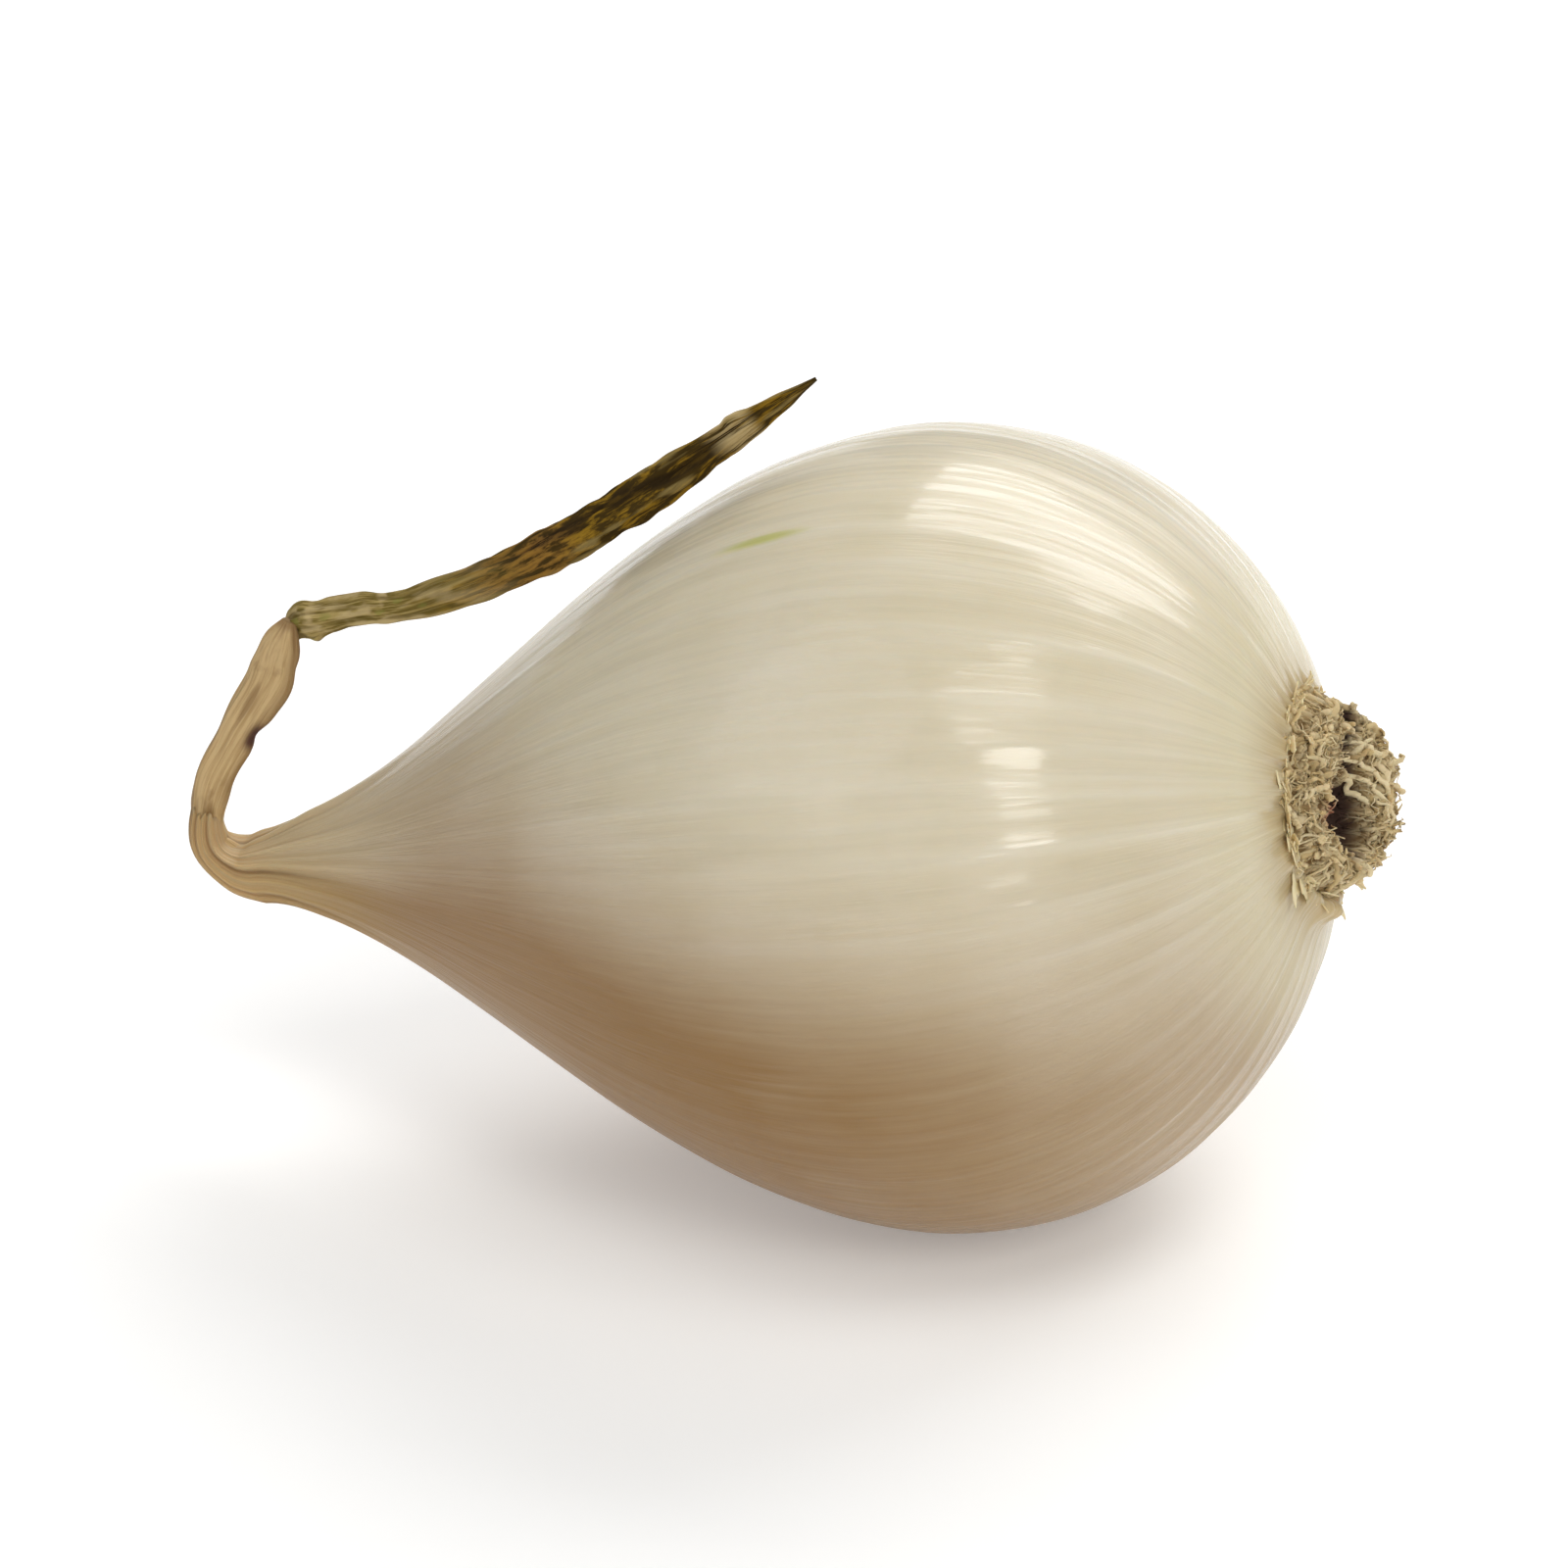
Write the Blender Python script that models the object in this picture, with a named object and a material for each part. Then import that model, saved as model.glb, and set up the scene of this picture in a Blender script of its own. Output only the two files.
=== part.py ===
"""A small white onion bulb sold dry for planting, lying on its side as it was picked.

The bulb is a fat drop: a round belly, a short root end and a long shoulder that gathers into a neck.
It is modelled along its own axis, with X towards the root end and the origin in the middle of the
belly, then laid down by one empty so that its neck points a little downwards.
"""
from math import acos, atan2, cos, pi, radians, sin, sqrt
from random import Random

import bmesh
import bpy
from mathutils import Vector

MM = 0.001

# Whole bulb
BULB_SIDES = 64
NECK_ROWS = 22
ROOT_END_ROWS = 11
BELLY_RADIUS = 12.0 * MM
NECK_LENGTH = 21.5 * MM
NECK_RADIUS = 1.2 * MM
SHOULDER_POWER = 1.8
ROOT_END_DEPTH = 11.3 * MM
NECK_RISE = 0.5 * MM
LYING_TILT = radians(12)
REST_SPOT_DEPTH = 0.4 * MM

# Relief of the skin
RIB_COUNT = 16
WIDE_RIB_COUNT = 11
RIB_HEIGHT = 0.05 * MM
PLEAT_COUNT = 8
PLEAT_SHARE = 0.10
PLEAT_TWIST = 0.16 / MM
PLEATS_START = 0.55
PLEATS_FULL = 0.9
LOBE_SHARE = 0.012

# Root end: a shallow dish with the basal plate in it and the roots on top
DISH_RADIUS = 2.75 * MM
DISH_FLOOR = 9.9 * MM
DISH_WALL_HEIGHT = 0.45 * MM
RIM_RADIUS = 3.025 * MM
RIM_ROWS = (3, 4)
RIM_RAGGEDNESS = 0.2 * MM
SHRED_ANGLE = radians(-117)
SHRED_HALF_ANGLE = radians(26)
SHRED_HEIGHT = 0.55 * MM
SHRED_FLARE = 0.2
PLATE_SIDES = 28
PLATE_RADIUS = 2.3 * MM
PLATE_BACK = 10.15 * MM
PLATE_FRONT = 10.72 * MM
PLATE_BEVEL = 0.2 * MM
PLATE_BOSS = 0.3 * MM
MAT_SEGMENTS = 24
MAT_SIDES = 7
MAT_RADIUS = 1.95 * MM
MAT_THICKNESS = 1.0 * MM
MAT_CENTRE = 11.5 * MM
ROOTLET_COUNT = 26
ROOTLET_ROWS = 8
ROOTLET_SIDES = 5
ROOTLET_RADIUS = 0.27 * MM
ROOTLET_LENGTH = 2.2 * MM
ROOT_SEED = 22

# Neck mouth, and the dry neck that stands in it
LIP_LENGTH = 0.65 * MM
LIP_RADIUS = 0.96 * MM
MOUTH_RADIUS = 0.66 * MM
MOUTH_SIDES = 20
FOOT_CLEARANCE = 0.25 * MM
PEG_CLEARANCE = 0.12 * MM

# The dry neck's route: out of the mouth, sharply up, and into the base of the leaf
DRY_NECK_ROUTE = (
    (-20.6, 0.0, 0.55),
    (-21.4, 0.0, 0.58),
    (-22.15, 0.0, 0.7),
    (-22.8, 0.0, 1.2),
    (-22.85, 0.0, 2.0),
    (-22.4, 0.0, 3.25),
    (-21.3, 0.05, 4.75),
    (-19.95, 0.0, 6.4),
    (-19.3, 0.0, 7.5),
)
# Width across, and thickness in the plane of the bend, at even steps along the route
DRY_NECK_WIDTHS = (0.8, 0.86, 0.9, 0.95, 0.9, 0.85, 0.8, 0.8, 0.8, 0.72, 0.58, 0.56)
DRY_NECK_THICKNESSES = (0.8, 0.86, 0.84, 0.84, 0.9, 0.95, 1.05, 1.25, 1.3, 1.05, 0.6, 0.56)
DRY_NECK_FOLD = 0.15
DRY_NECK_ROWS = 44
STRAND_SIDES = 14

# The leaf's route: up over the end of the dry neck, then back over the shoulder to its tip
LEAF_ROUTE = (
    (-19.6, 0.0, 6.95),
    (-18.95, 0.0, 7.95),
    (-18.0, 0.06, 8.2),
    (-16.5, 0.17, 8.4),
    (-15.0, 0.31, 8.42),
    (-12.0, 0.67, 9.15),
    (-9.6, 1.0, 10.05),
    (-7.2, 1.36, 11.15),
    (-4.3, 1.85, 12.65),
    (-2.1, 2.5, 13.6),
)
LEAF_WIDTHS = (1.34, 1.45, 1.3, 0.95, 0.9, 0.9, 1.0, 1.15, 1.35, 1.4, 1.3, 0.95, 0.25)
LEAF_THICKNESSES = (1.34, 1.45, 1.1, 0.78, 0.74, 0.74, 0.78, 0.8, 0.8, 0.8, 0.72, 0.62, 0.25)
LEAF_TWIST = radians(140)
LEAF_FOLD = 0.3
LEAF_ROWS = 52
LEAF_HOLE_RADIUS = 0.42 * MM
LEAF_HOLE_DEPTH = 2 * MM


def smooth_between(values, share):
    """The value at a share of the way along a row of values, by a Catmull-Rom curve."""
    place = max(0.0, min(1.0, share)) * (len(values) - 1)
    index = min(int(place), len(values) - 2)
    f = place - index
    before = values[max(index - 1, 0)]
    start, end = values[index], values[index + 1]
    after = values[min(index + 2, len(values) - 1)]
    return 0.5 * (2 * start + (end - before) * f
                  + (2 * before - 5 * start + 4 * end - after) * f ** 2
                  + (3 * start - before - 3 * end + after) * f ** 3)


def make_material(name, colour, roughness):
    """A plain finish with the piece's colour and roughness."""
    material = bpy.data.materials.new(name)
    material.use_nodes = True
    shader = material.node_tree.nodes["Principled BSDF"]
    shader.inputs["Base Color"].default_value = (*colour, 1.0)
    shader.inputs["Roughness"].default_value = roughness
    shader.inputs["Metallic"].default_value = 0.0
    return material


def mesh_object(name, bm, collection, parent, material=None):
    """Turns a closed bmesh into a smooth-shaded object, its faces turned outwards, on the bulb's axis."""
    if bm.calc_volume(signed=True) < 0:
        bmesh.ops.reverse_faces(bm, faces=bm.faces)
    mesh = bpy.data.meshes.new(name)
    bm.to_mesh(mesh)
    bm.free()
    mesh.shade_smooth()
    obj = bpy.data.objects.new(name, mesh)
    if material:
        mesh.materials.append(material)
    obj.parent = parent
    collection.objects.link(obj)
    return obj


def body_of_rows(rows, sides, place):
    """A sphere whose every vertex is moved to place(row, angle), so the body stays closed."""
    bm = bmesh.new()
    bmesh.ops.create_uvsphere(bm, u_segments=sides, v_segments=rows, radius=1.0)
    for vert in bm.verts:
        height = max(-1.0, min(1.0, vert.co.z))
        row = round(acos(height) / pi * rows)
        vert.co = place(row, atan2(vert.co.y, vert.co.x))
    return bm


def axis_height(x):
    """How far the bulb's curved middle line stands above its straight axis at x."""
    return NECK_RISE * (x / NECK_LENGTH) ** 2


def point_round_axis(x, radius, angle):
    """The point at an angle round the bulb's middle line, from +Y up over the top."""
    return Vector((x, radius * cos(angle), radius * sin(angle) + axis_height(x)))


def belly_radius(x):
    """Radius at x: a bell that narrows to the neck on one side, an ellipse on the root side."""
    if x < 0:
        bell = max(0.0, 1 - (x / NECK_LENGTH) ** 2) ** SHOULDER_POWER
        return NECK_RADIUS + (BELLY_RADIUS - NECK_RADIUS) * bell
    return BELLY_RADIUS * sqrt(1 - (x / ROOT_END_DEPTH) ** 2)


def bulb_profile():
    """Stations (x, radius) from the middle of the root dish, over the belly, to the neck's mouth."""
    dish = [
        (DISH_FLOOR, 0.0),
        (DISH_FLOOR, 0.45 * DISH_RADIUS),
        (DISH_FLOOR, 0.9 * DISH_RADIUS),
        (DISH_FLOOR + DISH_WALL_HEIGHT, 0.98 * DISH_RADIUS),
    ]
    rim_angle = acos(RIM_RADIUS / BELLY_RADIUS)
    angles = [rim_angle * (1 - i / ROOT_END_ROWS) for i in range(ROOT_END_ROWS)]
    root_side = [(ROOT_END_DEPTH * sin(a), BELLY_RADIUS * cos(a)) for a in angles]
    stations = [-NECK_LENGTH * i / NECK_ROWS for i in range(NECK_ROWS + 1)]
    neck_side = [(x, belly_radius(x)) for x in stations]
    lip = [
        (-NECK_LENGTH - LIP_LENGTH / 2, (NECK_RADIUS + LIP_RADIUS) / 2),
        (-NECK_LENGTH - LIP_LENGTH, LIP_RADIUS),
        (-NECK_LENGTH - LIP_LENGTH, 0.0),
    ]
    return dish + root_side + neck_side + lip


def skin_relief(x, radius, angle):
    """Radius with the bulb's uneven roundness, its fine ribs, and the pleats that gather at the neck."""
    lobes = 1 + LOBE_SHARE * (cos(2 * angle + 0.6) + 0.6 * cos(3 * angle - 1.0))
    ribs = RIB_HEIGHT * (cos(RIB_COUNT * angle) + 0.5 * cos(WIDE_RIB_COUNT * angle + 1.3))
    ribs *= min(1.0, radius / BELLY_RADIUS + 0.25)
    gathered = max(0.0, min(1.0, (-x / NECK_LENGTH - PLEATS_START) / (PLEATS_FULL - PLEATS_START)))
    pleats = 1 + PLEAT_SHARE * gathered * cos(PLEAT_COUNT * angle + PLEAT_TWIST * (x + NECK_LENGTH))
    return (radius * lobes + ribs) * pleats


def make_bulb(collection, parent, material):
    """The bulb in its skin, before its mouth and its resting spot are cut."""
    profile = bulb_profile()

    def place(row, angle):
        x, radius = profile[row]
        if radius > 0:
            radius = skin_relief(x, radius, angle)
        if row in RIM_ROWS:
            from_shred = abs(atan2(sin(angle - SHRED_ANGLE), cos(angle - SHRED_ANGLE)))
            shred = max(0.0, 1 - (from_shred / SHRED_HALF_ANGLE) ** 2)
            x += RIM_RAGGEDNESS * (0.5 + 0.5 * cos(5 * angle + 0.7) * cos(3 * angle))
            x += SHRED_HEIGHT * shred
            radius *= 1 + SHRED_FLARE * shred
        return point_round_axis(x, radius, angle)

    return mesh_object("bulb", body_of_rows(len(profile) - 1, BULB_SIDES, place), collection, parent, material)


def strand(rows, sides, route, widths, thicknesses, twist=0.0, fold=0.0):
    """A withered strand along a route, flat in section, twisted and folded lengthwise, closed at its ends."""
    points = [Vector(point) for point in route]

    def place(row, angle):
        share = max(0.0, min(1.0, (row - 1) / (rows - 2)))
        centre = smooth_between(points, share)
        if row in (0, rows):
            return centre * MM
        along = (smooth_between(points, share + 0.02) - smooth_between(points, share - 0.02)).normalized()
        side = Vector((0, 1, 0))
        side = (side - side.dot(along) * along).normalized()
        up = along.cross(side)
        turn = twist * share
        across = side * cos(turn) + up * sin(turn)
        through = up * cos(turn) - side * sin(turn)
        half_width = 0.5 * smooth_between(widths, share)
        half_thickness = 0.5 * smooth_between(thicknesses, share)
        crease = fold * half_thickness * cos(angle) ** 2
        offset = across * half_width * cos(angle) + through * (half_thickness * sin(angle) + crease)
        return (centre + offset) * MM

    return body_of_rows(rows, sides, place)


def make_basal_plate(collection, parent, material):
    """A corky disc with a scalloped edge and a low boss in the middle."""
    profile = [
        (PLATE_BACK, 0.0),
        (PLATE_BACK, 0.6 * PLATE_RADIUS),
        (PLATE_BACK, 0.95 * PLATE_RADIUS),
        (PLATE_BACK + PLATE_BEVEL, PLATE_RADIUS),
        (PLATE_FRONT - PLATE_BEVEL, 0.98 * PLATE_RADIUS),
        (PLATE_FRONT, 0.85 * PLATE_RADIUS),
        (PLATE_FRONT, 0.45 * PLATE_RADIUS),
        (PLATE_FRONT + PLATE_BOSS, 0.25 * PLATE_RADIUS),
        (PLATE_FRONT + PLATE_BOSS, 0.0),
    ]

    def place(row, angle):
        x, radius = profile[row]
        radius *= 1 + 0.03 * cos(9 * angle) + 0.02 * cos(4 * angle + 1.0)
        return point_round_axis(x, radius, angle)

    return mesh_object("basal_plate", body_of_rows(len(profile) - 1, PLATE_SIDES, place), collection, parent, material)


def make_root_mat(collection, parent, material):
    """The matted ring that the rootlets grow out of: a torus with an uneven swell."""
    bpy.ops.mesh.primitive_torus_add(
        major_segments=MAT_SEGMENTS, minor_segments=MAT_SIDES,
        major_radius=MAT_RADIUS, minor_radius=MAT_THICKNESS / 2)
    torus = bpy.context.object
    bm = bmesh.new()
    bm.from_mesh(torus.data)
    bpy.data.objects.remove(torus)
    for vert in bm.verts:
        angle = atan2(vert.co.y, vert.co.x)
        outwards = vert.co.xy.length - MAT_RADIUS
        turn = atan2(vert.co.z, outwards)
        swell = 1 + 0.16 * cos(7 * angle + 2 * turn) + 0.08 * cos(11 * angle)
        radius = MAT_RADIUS + outwards * swell
        x = MAT_CENTRE + vert.co.z * swell
        vert.co = point_round_axis(x, radius, angle)
    return mesh_object("dried_roots", bm, collection, parent, material)


def make_rootlet(index, draw, collection, parent):
    """One curled rootlet: it leaves the mat, bends over outwards or inwards, and kinks as it goes."""
    start = 2 * pi * (index + draw.uniform(-0.4, 0.4)) / ROOTLET_COUNT
    outwards = 1 if index % 3 else -0.55
    sweep = draw.uniform(-0.9, 0.9)
    reach = ROOTLET_LENGTH * draw.uniform(0.55, 1.0)
    lift = draw.uniform(0.3, 1.3)
    phase = draw.uniform(0, 2 * pi)
    route = []
    for i in range(6):
        share = i / 5
        angle = start + sweep * share + 0.10 * sin(7 * share + phase)
        radius = MAT_RADIUS + outwards * 0.6 * reach * share + 0.12 * MM * sin(9 * share + phase)
        x = MAT_CENTRE + lift * MM * sin(pi * min(1.0, 0.15 + 0.95 * share))
        route.append(point_round_axis(x, radius, angle) / MM)
    thick = 2 * ROOTLET_RADIUS / MM
    size = (thick, thick * 0.9, thick * 0.8, thick * 0.55)
    bm = strand(ROOTLET_ROWS, ROOTLET_SIDES, route, size, size)
    mesh_object(f"rootlet_{index}", bm, collection, parent)


def cut(obj, cutter):
    """Takes a cutter's shape out of an object."""
    boolean = obj.modifiers.new(cutter.name, "BOOLEAN")
    boolean.operation = "DIFFERENCE"
    boolean.solver = "EXACT"
    boolean.object = cutter


def join(obj, collection):
    """Joins an object with everything in a collection: tangled strands, so by the manifold solver."""
    boolean = obj.modifiers.new(collection.name, "BOOLEAN")
    boolean.operation = "UNION"
    boolean.solver = "MANIFOLD"
    boolean.operand_type = "COLLECTION"
    boolean.collection = collection


def apply_modifiers(obj):
    """Replaces an object's mesh with what its modifiers make of it."""
    depsgraph = bpy.context.evaluated_depsgraph_get()
    mesh = bpy.data.meshes.new_from_object(obj.evaluated_get(depsgraph))
    obj.modifiers.clear()
    obj.data = mesh


def keep_largest_piece(obj):
    """Fills sealed hollows and drops loose scraps: only the faces joined to the most others stay."""
    bm = bmesh.new()
    bm.from_mesh(obj.data)
    bmesh.ops.triangulate(bm, faces=bm.faces)
    unseen = set(bm.faces)
    pieces = []
    while unseen:
        front = [unseen.pop()]
        piece = list(front)
        while front:
            for edge in front.pop().edges:
                fresh = unseen.intersection(edge.link_faces)
                unseen -= fresh
                piece.extend(fresh)
                front.extend(fresh)
        pieces.append(piece)
    pieces.sort(key=len)
    scraps = [face for piece in pieces[:-1] for face in piece]
    bmesh.ops.delete(bm, geom=scraps, context="FACES")
    bm.to_mesh(obj.data)
    bm.free()


def make_roots(collection, parent, material):
    """The mat and all its rootlets joined into one body."""
    roots = make_root_mat(collection, parent, material)
    rootlets = bpy.data.collections.new("rootlets")
    bpy.context.scene.collection.children.link(rootlets)
    draw = Random(ROOT_SEED)
    for index in range(ROOTLET_COUNT):
        make_rootlet(index, draw, rootlets, parent)
    join(roots, rootlets)
    apply_modifiers(roots)
    keep_largest_piece(roots)
    for rootlet in list(rootlets.objects):
        bpy.data.objects.remove(rootlet)
    bpy.data.collections.remove(rootlets)


def make_cutter(name, collection, parent=None):
    """A cutter's object for the mesh that was just added by an operator."""
    cutter = bpy.context.object
    cutter.name = name
    cutter.hide_render = True
    cutter.display_type = "WIRE"
    cutter.parent = parent
    for home in list(cutter.users_collection):
        home.objects.unlink(cutter)
    collection.objects.link(cutter)
    return cutter


def make_hole_cutter(name, start, end, radius, collection, parent):
    """A round cutter from one point to another along the bulb's axis frame."""
    along = end - start
    bpy.ops.mesh.primitive_cylinder_add(vertices=MOUTH_SIDES, radius=radius, depth=along.length)
    cutter = make_cutter(name, collection, parent)
    cutter.location = (start + end) / 2
    cutter.rotation_euler = along.to_track_quat("Z", "Y").to_euler()
    return cutter


def lowest_point():
    """How far the belly reaches below the middle of the bulb once it is tilted."""
    stations = [-NECK_LENGTH * i / 400 for i in range(401)]
    return max(
        (belly_radius(x) - axis_height(x)) * cos(LYING_TILT) - x * sin(LYING_TILT)
        for x in stations
    )


for old in list(bpy.data.objects):
    bpy.data.objects.remove(old)

onion = bpy.data.collections.new("onion_set")
cutters = bpy.data.collections.new("cutters")
bpy.context.scene.collection.children.link(onion)
bpy.context.scene.collection.children.link(cutters)

lying_axis = bpy.data.objects.new("lying_axis", None)
lying_axis.location = (0, 0, lowest_point() - REST_SPOT_DEPTH)
lying_axis.rotation_euler = (0, -LYING_TILT, 0)
onion.objects.link(lying_axis)

bulb = make_bulb(onion, lying_axis, make_material("white_skin", (0.72, 0.66, 0.50), 0.32))
make_basal_plate(onion, lying_axis, make_material("dark_cork", (0.09, 0.045, 0.015), 0.9))
make_roots(onion, lying_axis, make_material("dried_root", (0.45, 0.32, 0.15), 0.85))

neck_strand = strand(
    DRY_NECK_ROWS, STRAND_SIDES, DRY_NECK_ROUTE, DRY_NECK_WIDTHS, DRY_NECK_THICKNESSES, fold=DRY_NECK_FOLD)
straw_skin = make_material("straw_skin", (0.52, 0.36, 0.15), 0.7)
mesh_object("dry_neck", neck_strand, onion, lying_axis, straw_skin)

leaf_strand = strand(
    LEAF_ROWS, STRAND_SIDES, LEAF_ROUTE, LEAF_WIDTHS, LEAF_THICKNESSES, twist=LEAF_TWIST, fold=LEAF_FOLD)
leaf_skin = make_material("withered_leaf", (0.13, 0.10, 0.025), 0.75)
leaf = mesh_object("withered_leaf", leaf_strand, onion, lying_axis, leaf_skin)

neck_foot = Vector(DRY_NECK_ROUTE[0]) * MM
outwards = (Vector(DRY_NECK_ROUTE[2]) * MM - neck_foot).normalized()
mouth_cutter = make_hole_cutter(
    "mouth_cutter", neck_foot - outwards * FOOT_CLEARANCE, neck_foot + outwards * BELLY_RADIUS, MOUTH_RADIUS,
    cutters, lying_axis)
cut(bulb, mouth_cutter)

peg_end = Vector(DRY_NECK_ROUTE[-1]) * MM
peg_way = (peg_end - Vector(DRY_NECK_ROUTE[-2]) * MM).normalized()
leaf_hole_cutter = make_hole_cutter(
    "leaf_hole_cutter", peg_end - peg_way * LEAF_HOLE_DEPTH, peg_end + peg_way * PEG_CLEARANCE,
    LEAF_HOLE_RADIUS, cutters, lying_axis)
cut(leaf, leaf_hole_cutter)

bpy.ops.mesh.primitive_cube_add(size=BELLY_RADIUS, location=(0, 0, -BELLY_RADIUS / 2))
ground_cutter = make_cutter("ground_cutter", cutters)
cut(bulb, ground_cutter)
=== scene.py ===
"""A small white onion bulb, dried for planting, lying on a pale floor with its neck to the left."""
from math import acos, cos, pi, radians, sin

import bpy
import numpy as np
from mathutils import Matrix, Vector


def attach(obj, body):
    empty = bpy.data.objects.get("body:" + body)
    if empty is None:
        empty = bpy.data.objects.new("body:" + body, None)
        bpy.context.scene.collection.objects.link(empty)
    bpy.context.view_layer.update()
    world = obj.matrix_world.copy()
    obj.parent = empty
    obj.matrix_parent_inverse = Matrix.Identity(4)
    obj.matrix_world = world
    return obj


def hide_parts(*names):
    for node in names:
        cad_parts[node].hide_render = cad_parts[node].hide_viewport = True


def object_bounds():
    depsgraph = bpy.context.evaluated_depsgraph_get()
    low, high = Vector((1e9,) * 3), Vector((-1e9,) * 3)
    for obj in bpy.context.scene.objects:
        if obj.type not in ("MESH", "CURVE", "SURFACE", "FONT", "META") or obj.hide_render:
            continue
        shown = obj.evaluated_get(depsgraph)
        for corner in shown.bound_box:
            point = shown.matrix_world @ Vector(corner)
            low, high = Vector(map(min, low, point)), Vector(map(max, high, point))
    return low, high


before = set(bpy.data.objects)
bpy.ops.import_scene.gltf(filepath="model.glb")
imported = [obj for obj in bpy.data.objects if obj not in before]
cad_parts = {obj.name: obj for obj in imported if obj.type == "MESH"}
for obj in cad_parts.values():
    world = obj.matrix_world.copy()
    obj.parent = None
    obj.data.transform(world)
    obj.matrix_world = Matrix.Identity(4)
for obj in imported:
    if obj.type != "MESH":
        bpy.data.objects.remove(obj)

cad_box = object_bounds()

# Camera
# It looks at the bulb as the photograph does: from its near side, a little round towards the root end
# and from above, at arm's length, with a lens long enough for the bulb to fill the frame.
CAMERA_AZIMUTH = radians(14)
CAMERA_ELEVATION = radians(28)
CAMERA_DISTANCE = 0.72
FRAME_WIDTH = 0.046
SENSOR_WIDTH = 36.0


def seen_from(azimuth, elevation):
    """The direction from the bulb to a viewer who stands at an azimuth, with 0 at -Y, and an elevation."""
    level = cos(elevation)
    return Vector((sin(azimuth) * level, -cos(azimuth) * level, sin(elevation)))


middle = (cad_box[0] + cad_box[1]) / 2
to_camera = seen_from(CAMERA_AZIMUTH, CAMERA_ELEVATION)
camera_data = bpy.data.cameras.new("camera")
camera_data.sensor_width = SENSOR_WIDTH
camera_data.lens = SENSOR_WIDTH * CAMERA_DISTANCE / FRAME_WIDTH
camera_data.clip_start = 0.01
camera = bpy.data.objects.new("camera", camera_data)
camera.location = middle + to_camera * CAMERA_DISTANCE
camera.rotation_euler = to_camera.to_track_quat("Z", "Y").to_euler()
bpy.context.scene.collection.objects.link(camera)
bpy.context.scene.camera = camera

# Bulb skin
# The fleshy bulb in its last dry skin: thin, pearly and ivory-white, with fine veins that run from the
# root end to the neck. At the neck it gathers into pleats and closes round the foot of the dry neck.
# Sizes along the bulb's own axis are in millimetres, with X towards the root end.
MM = 0.001
BELLY_RADIUS = 12.0
NECK_LENGTH = 21.5
NECK_RADIUS = 1.2
SHOULDER_POWER = 1.8
ROOT_END_DEPTH = 11.3
NECK_RISE = 0.5
LYING_TILT = radians(12)
REST_SPOT_DEPTH = 0.4
DISH_RADIUS = 2.75
DISH_FLOOR = 9.9
RIM_RADIUS = 3.025
RIM_RAGGEDNESS = 0.16
SHRED_ANGLE = radians(-117)
SHRED_HALF_ANGLE = radians(26)
SHRED_HEIGHT = 0.5
SHRED_FLARE = 0.17
SKIN_SIDES = 384
DISH_ROWS = 9
ROOT_SIDE_ROWS = 72
NECK_SIDE_ROWS = 125
GATHER_ROWS = 30
RIM_ROW = 2 * DISH_ROWS
TORN_ROWS = 4.0
DRY_NECK_ROUTE = (
    (-20.6, 0.0, 0.55),
    (-21.4, 0.0, 0.58),
    (-22.15, 0.0, 0.7),
    (-22.8, 0.0, 1.2),
    (-22.85, 0.0, 2.0),
    (-22.4, 0.0, 3.25),
    (-21.3, 0.05, 4.75),
    (-19.95, 0.0, 6.4),
    (-19.3, 0.0, 7.5),
)
# Where the bulb's middle line starts to bend over into the dry neck's route, and the bend's sharpest place
BEND_START = -19.5
BEND_MIDDLE = -22.3
# How far the gathered skin runs up the dry neck, and its radius at even steps on the way
GATHER_LENGTH = 2.7
GATHER_RADII = (1.2, 1.08, 0.93, 0.78, 0.65, 0.57, 0.52, 0.47)


def axis_height(x):
    """The bulb's middle line: it rises with the square of the distance from the belly."""
    return NECK_RISE * (x / NECK_LENGTH) ** 2


def neck_side_radius(x):
    """A bell: full at the belly, narrowing to the neck as a power of one minus the square of x."""
    bell = np.clip(1 - (x / NECK_LENGTH) ** 2, 0, 1) ** SHOULDER_POWER
    return NECK_RADIUS + (BELLY_RADIUS - NECK_RADIUS) * bell


def smooth_between(values, share):
    """Values at shares of the way along a row of them, by a Catmull-Rom curve through each four."""
    values = np.asarray(values, float)
    place = np.clip(share, 0, 1) * (len(values) - 1)
    index = np.minimum(place.astype(int), len(values) - 2)
    f = place - index
    if values.ndim > 1:
        f = f[..., None]
    before = values[np.maximum(index - 1, 0)]
    start = values[index]
    end = values[index + 1]
    after = values[np.minimum(index + 2, len(values) - 1)]
    linear = (end - before) * f
    square = (2 * before - 5 * start + 4 * end - after) * f ** 2
    cube = (3 * start - before - 3 * end + after) * f ** 3
    return 0.5 * (2 * start + linear + square + cube)


def ease(low, high, value):
    """0 below low, 1 above high, and the smooth step 3t2 - 2t3 in between; low may be above high."""
    t = np.clip((value - low) / (high - low), 0, 1)
    return t * t * (3 - 2 * t)


def ripples(angle, along, counts, seed, drift=0.12):
    """A sum of waves round the axis, one for each count, that lean and fade at random along it."""
    draw = np.random.default_rng(seed)
    total = 0.0
    for count in counts:
        phase, fade, slow = draw.uniform(0, 2 * pi, 3)
        lean = draw.uniform(-drift, drift)
        strength = 0.55 + 0.45 * np.cos(0.12 * slow * along + fade)
        total = total + strength * np.cos(count * angle + phase + lean * along)
    return total / len(counts) ** 0.5


# The tilted bulb is lifted by how far its lowest line hangs below its axis, less the flat spot's depth
HANG_STATIONS = 401
stations = np.linspace(-NECK_LENGTH, 0, HANG_STATIONS)
hang = (neck_side_radius(stations) - axis_height(stations)) * cos(LYING_TILT) - stations * sin(LYING_TILT)
LIFT = hang.max() - REST_SPOT_DEPTH


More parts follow.
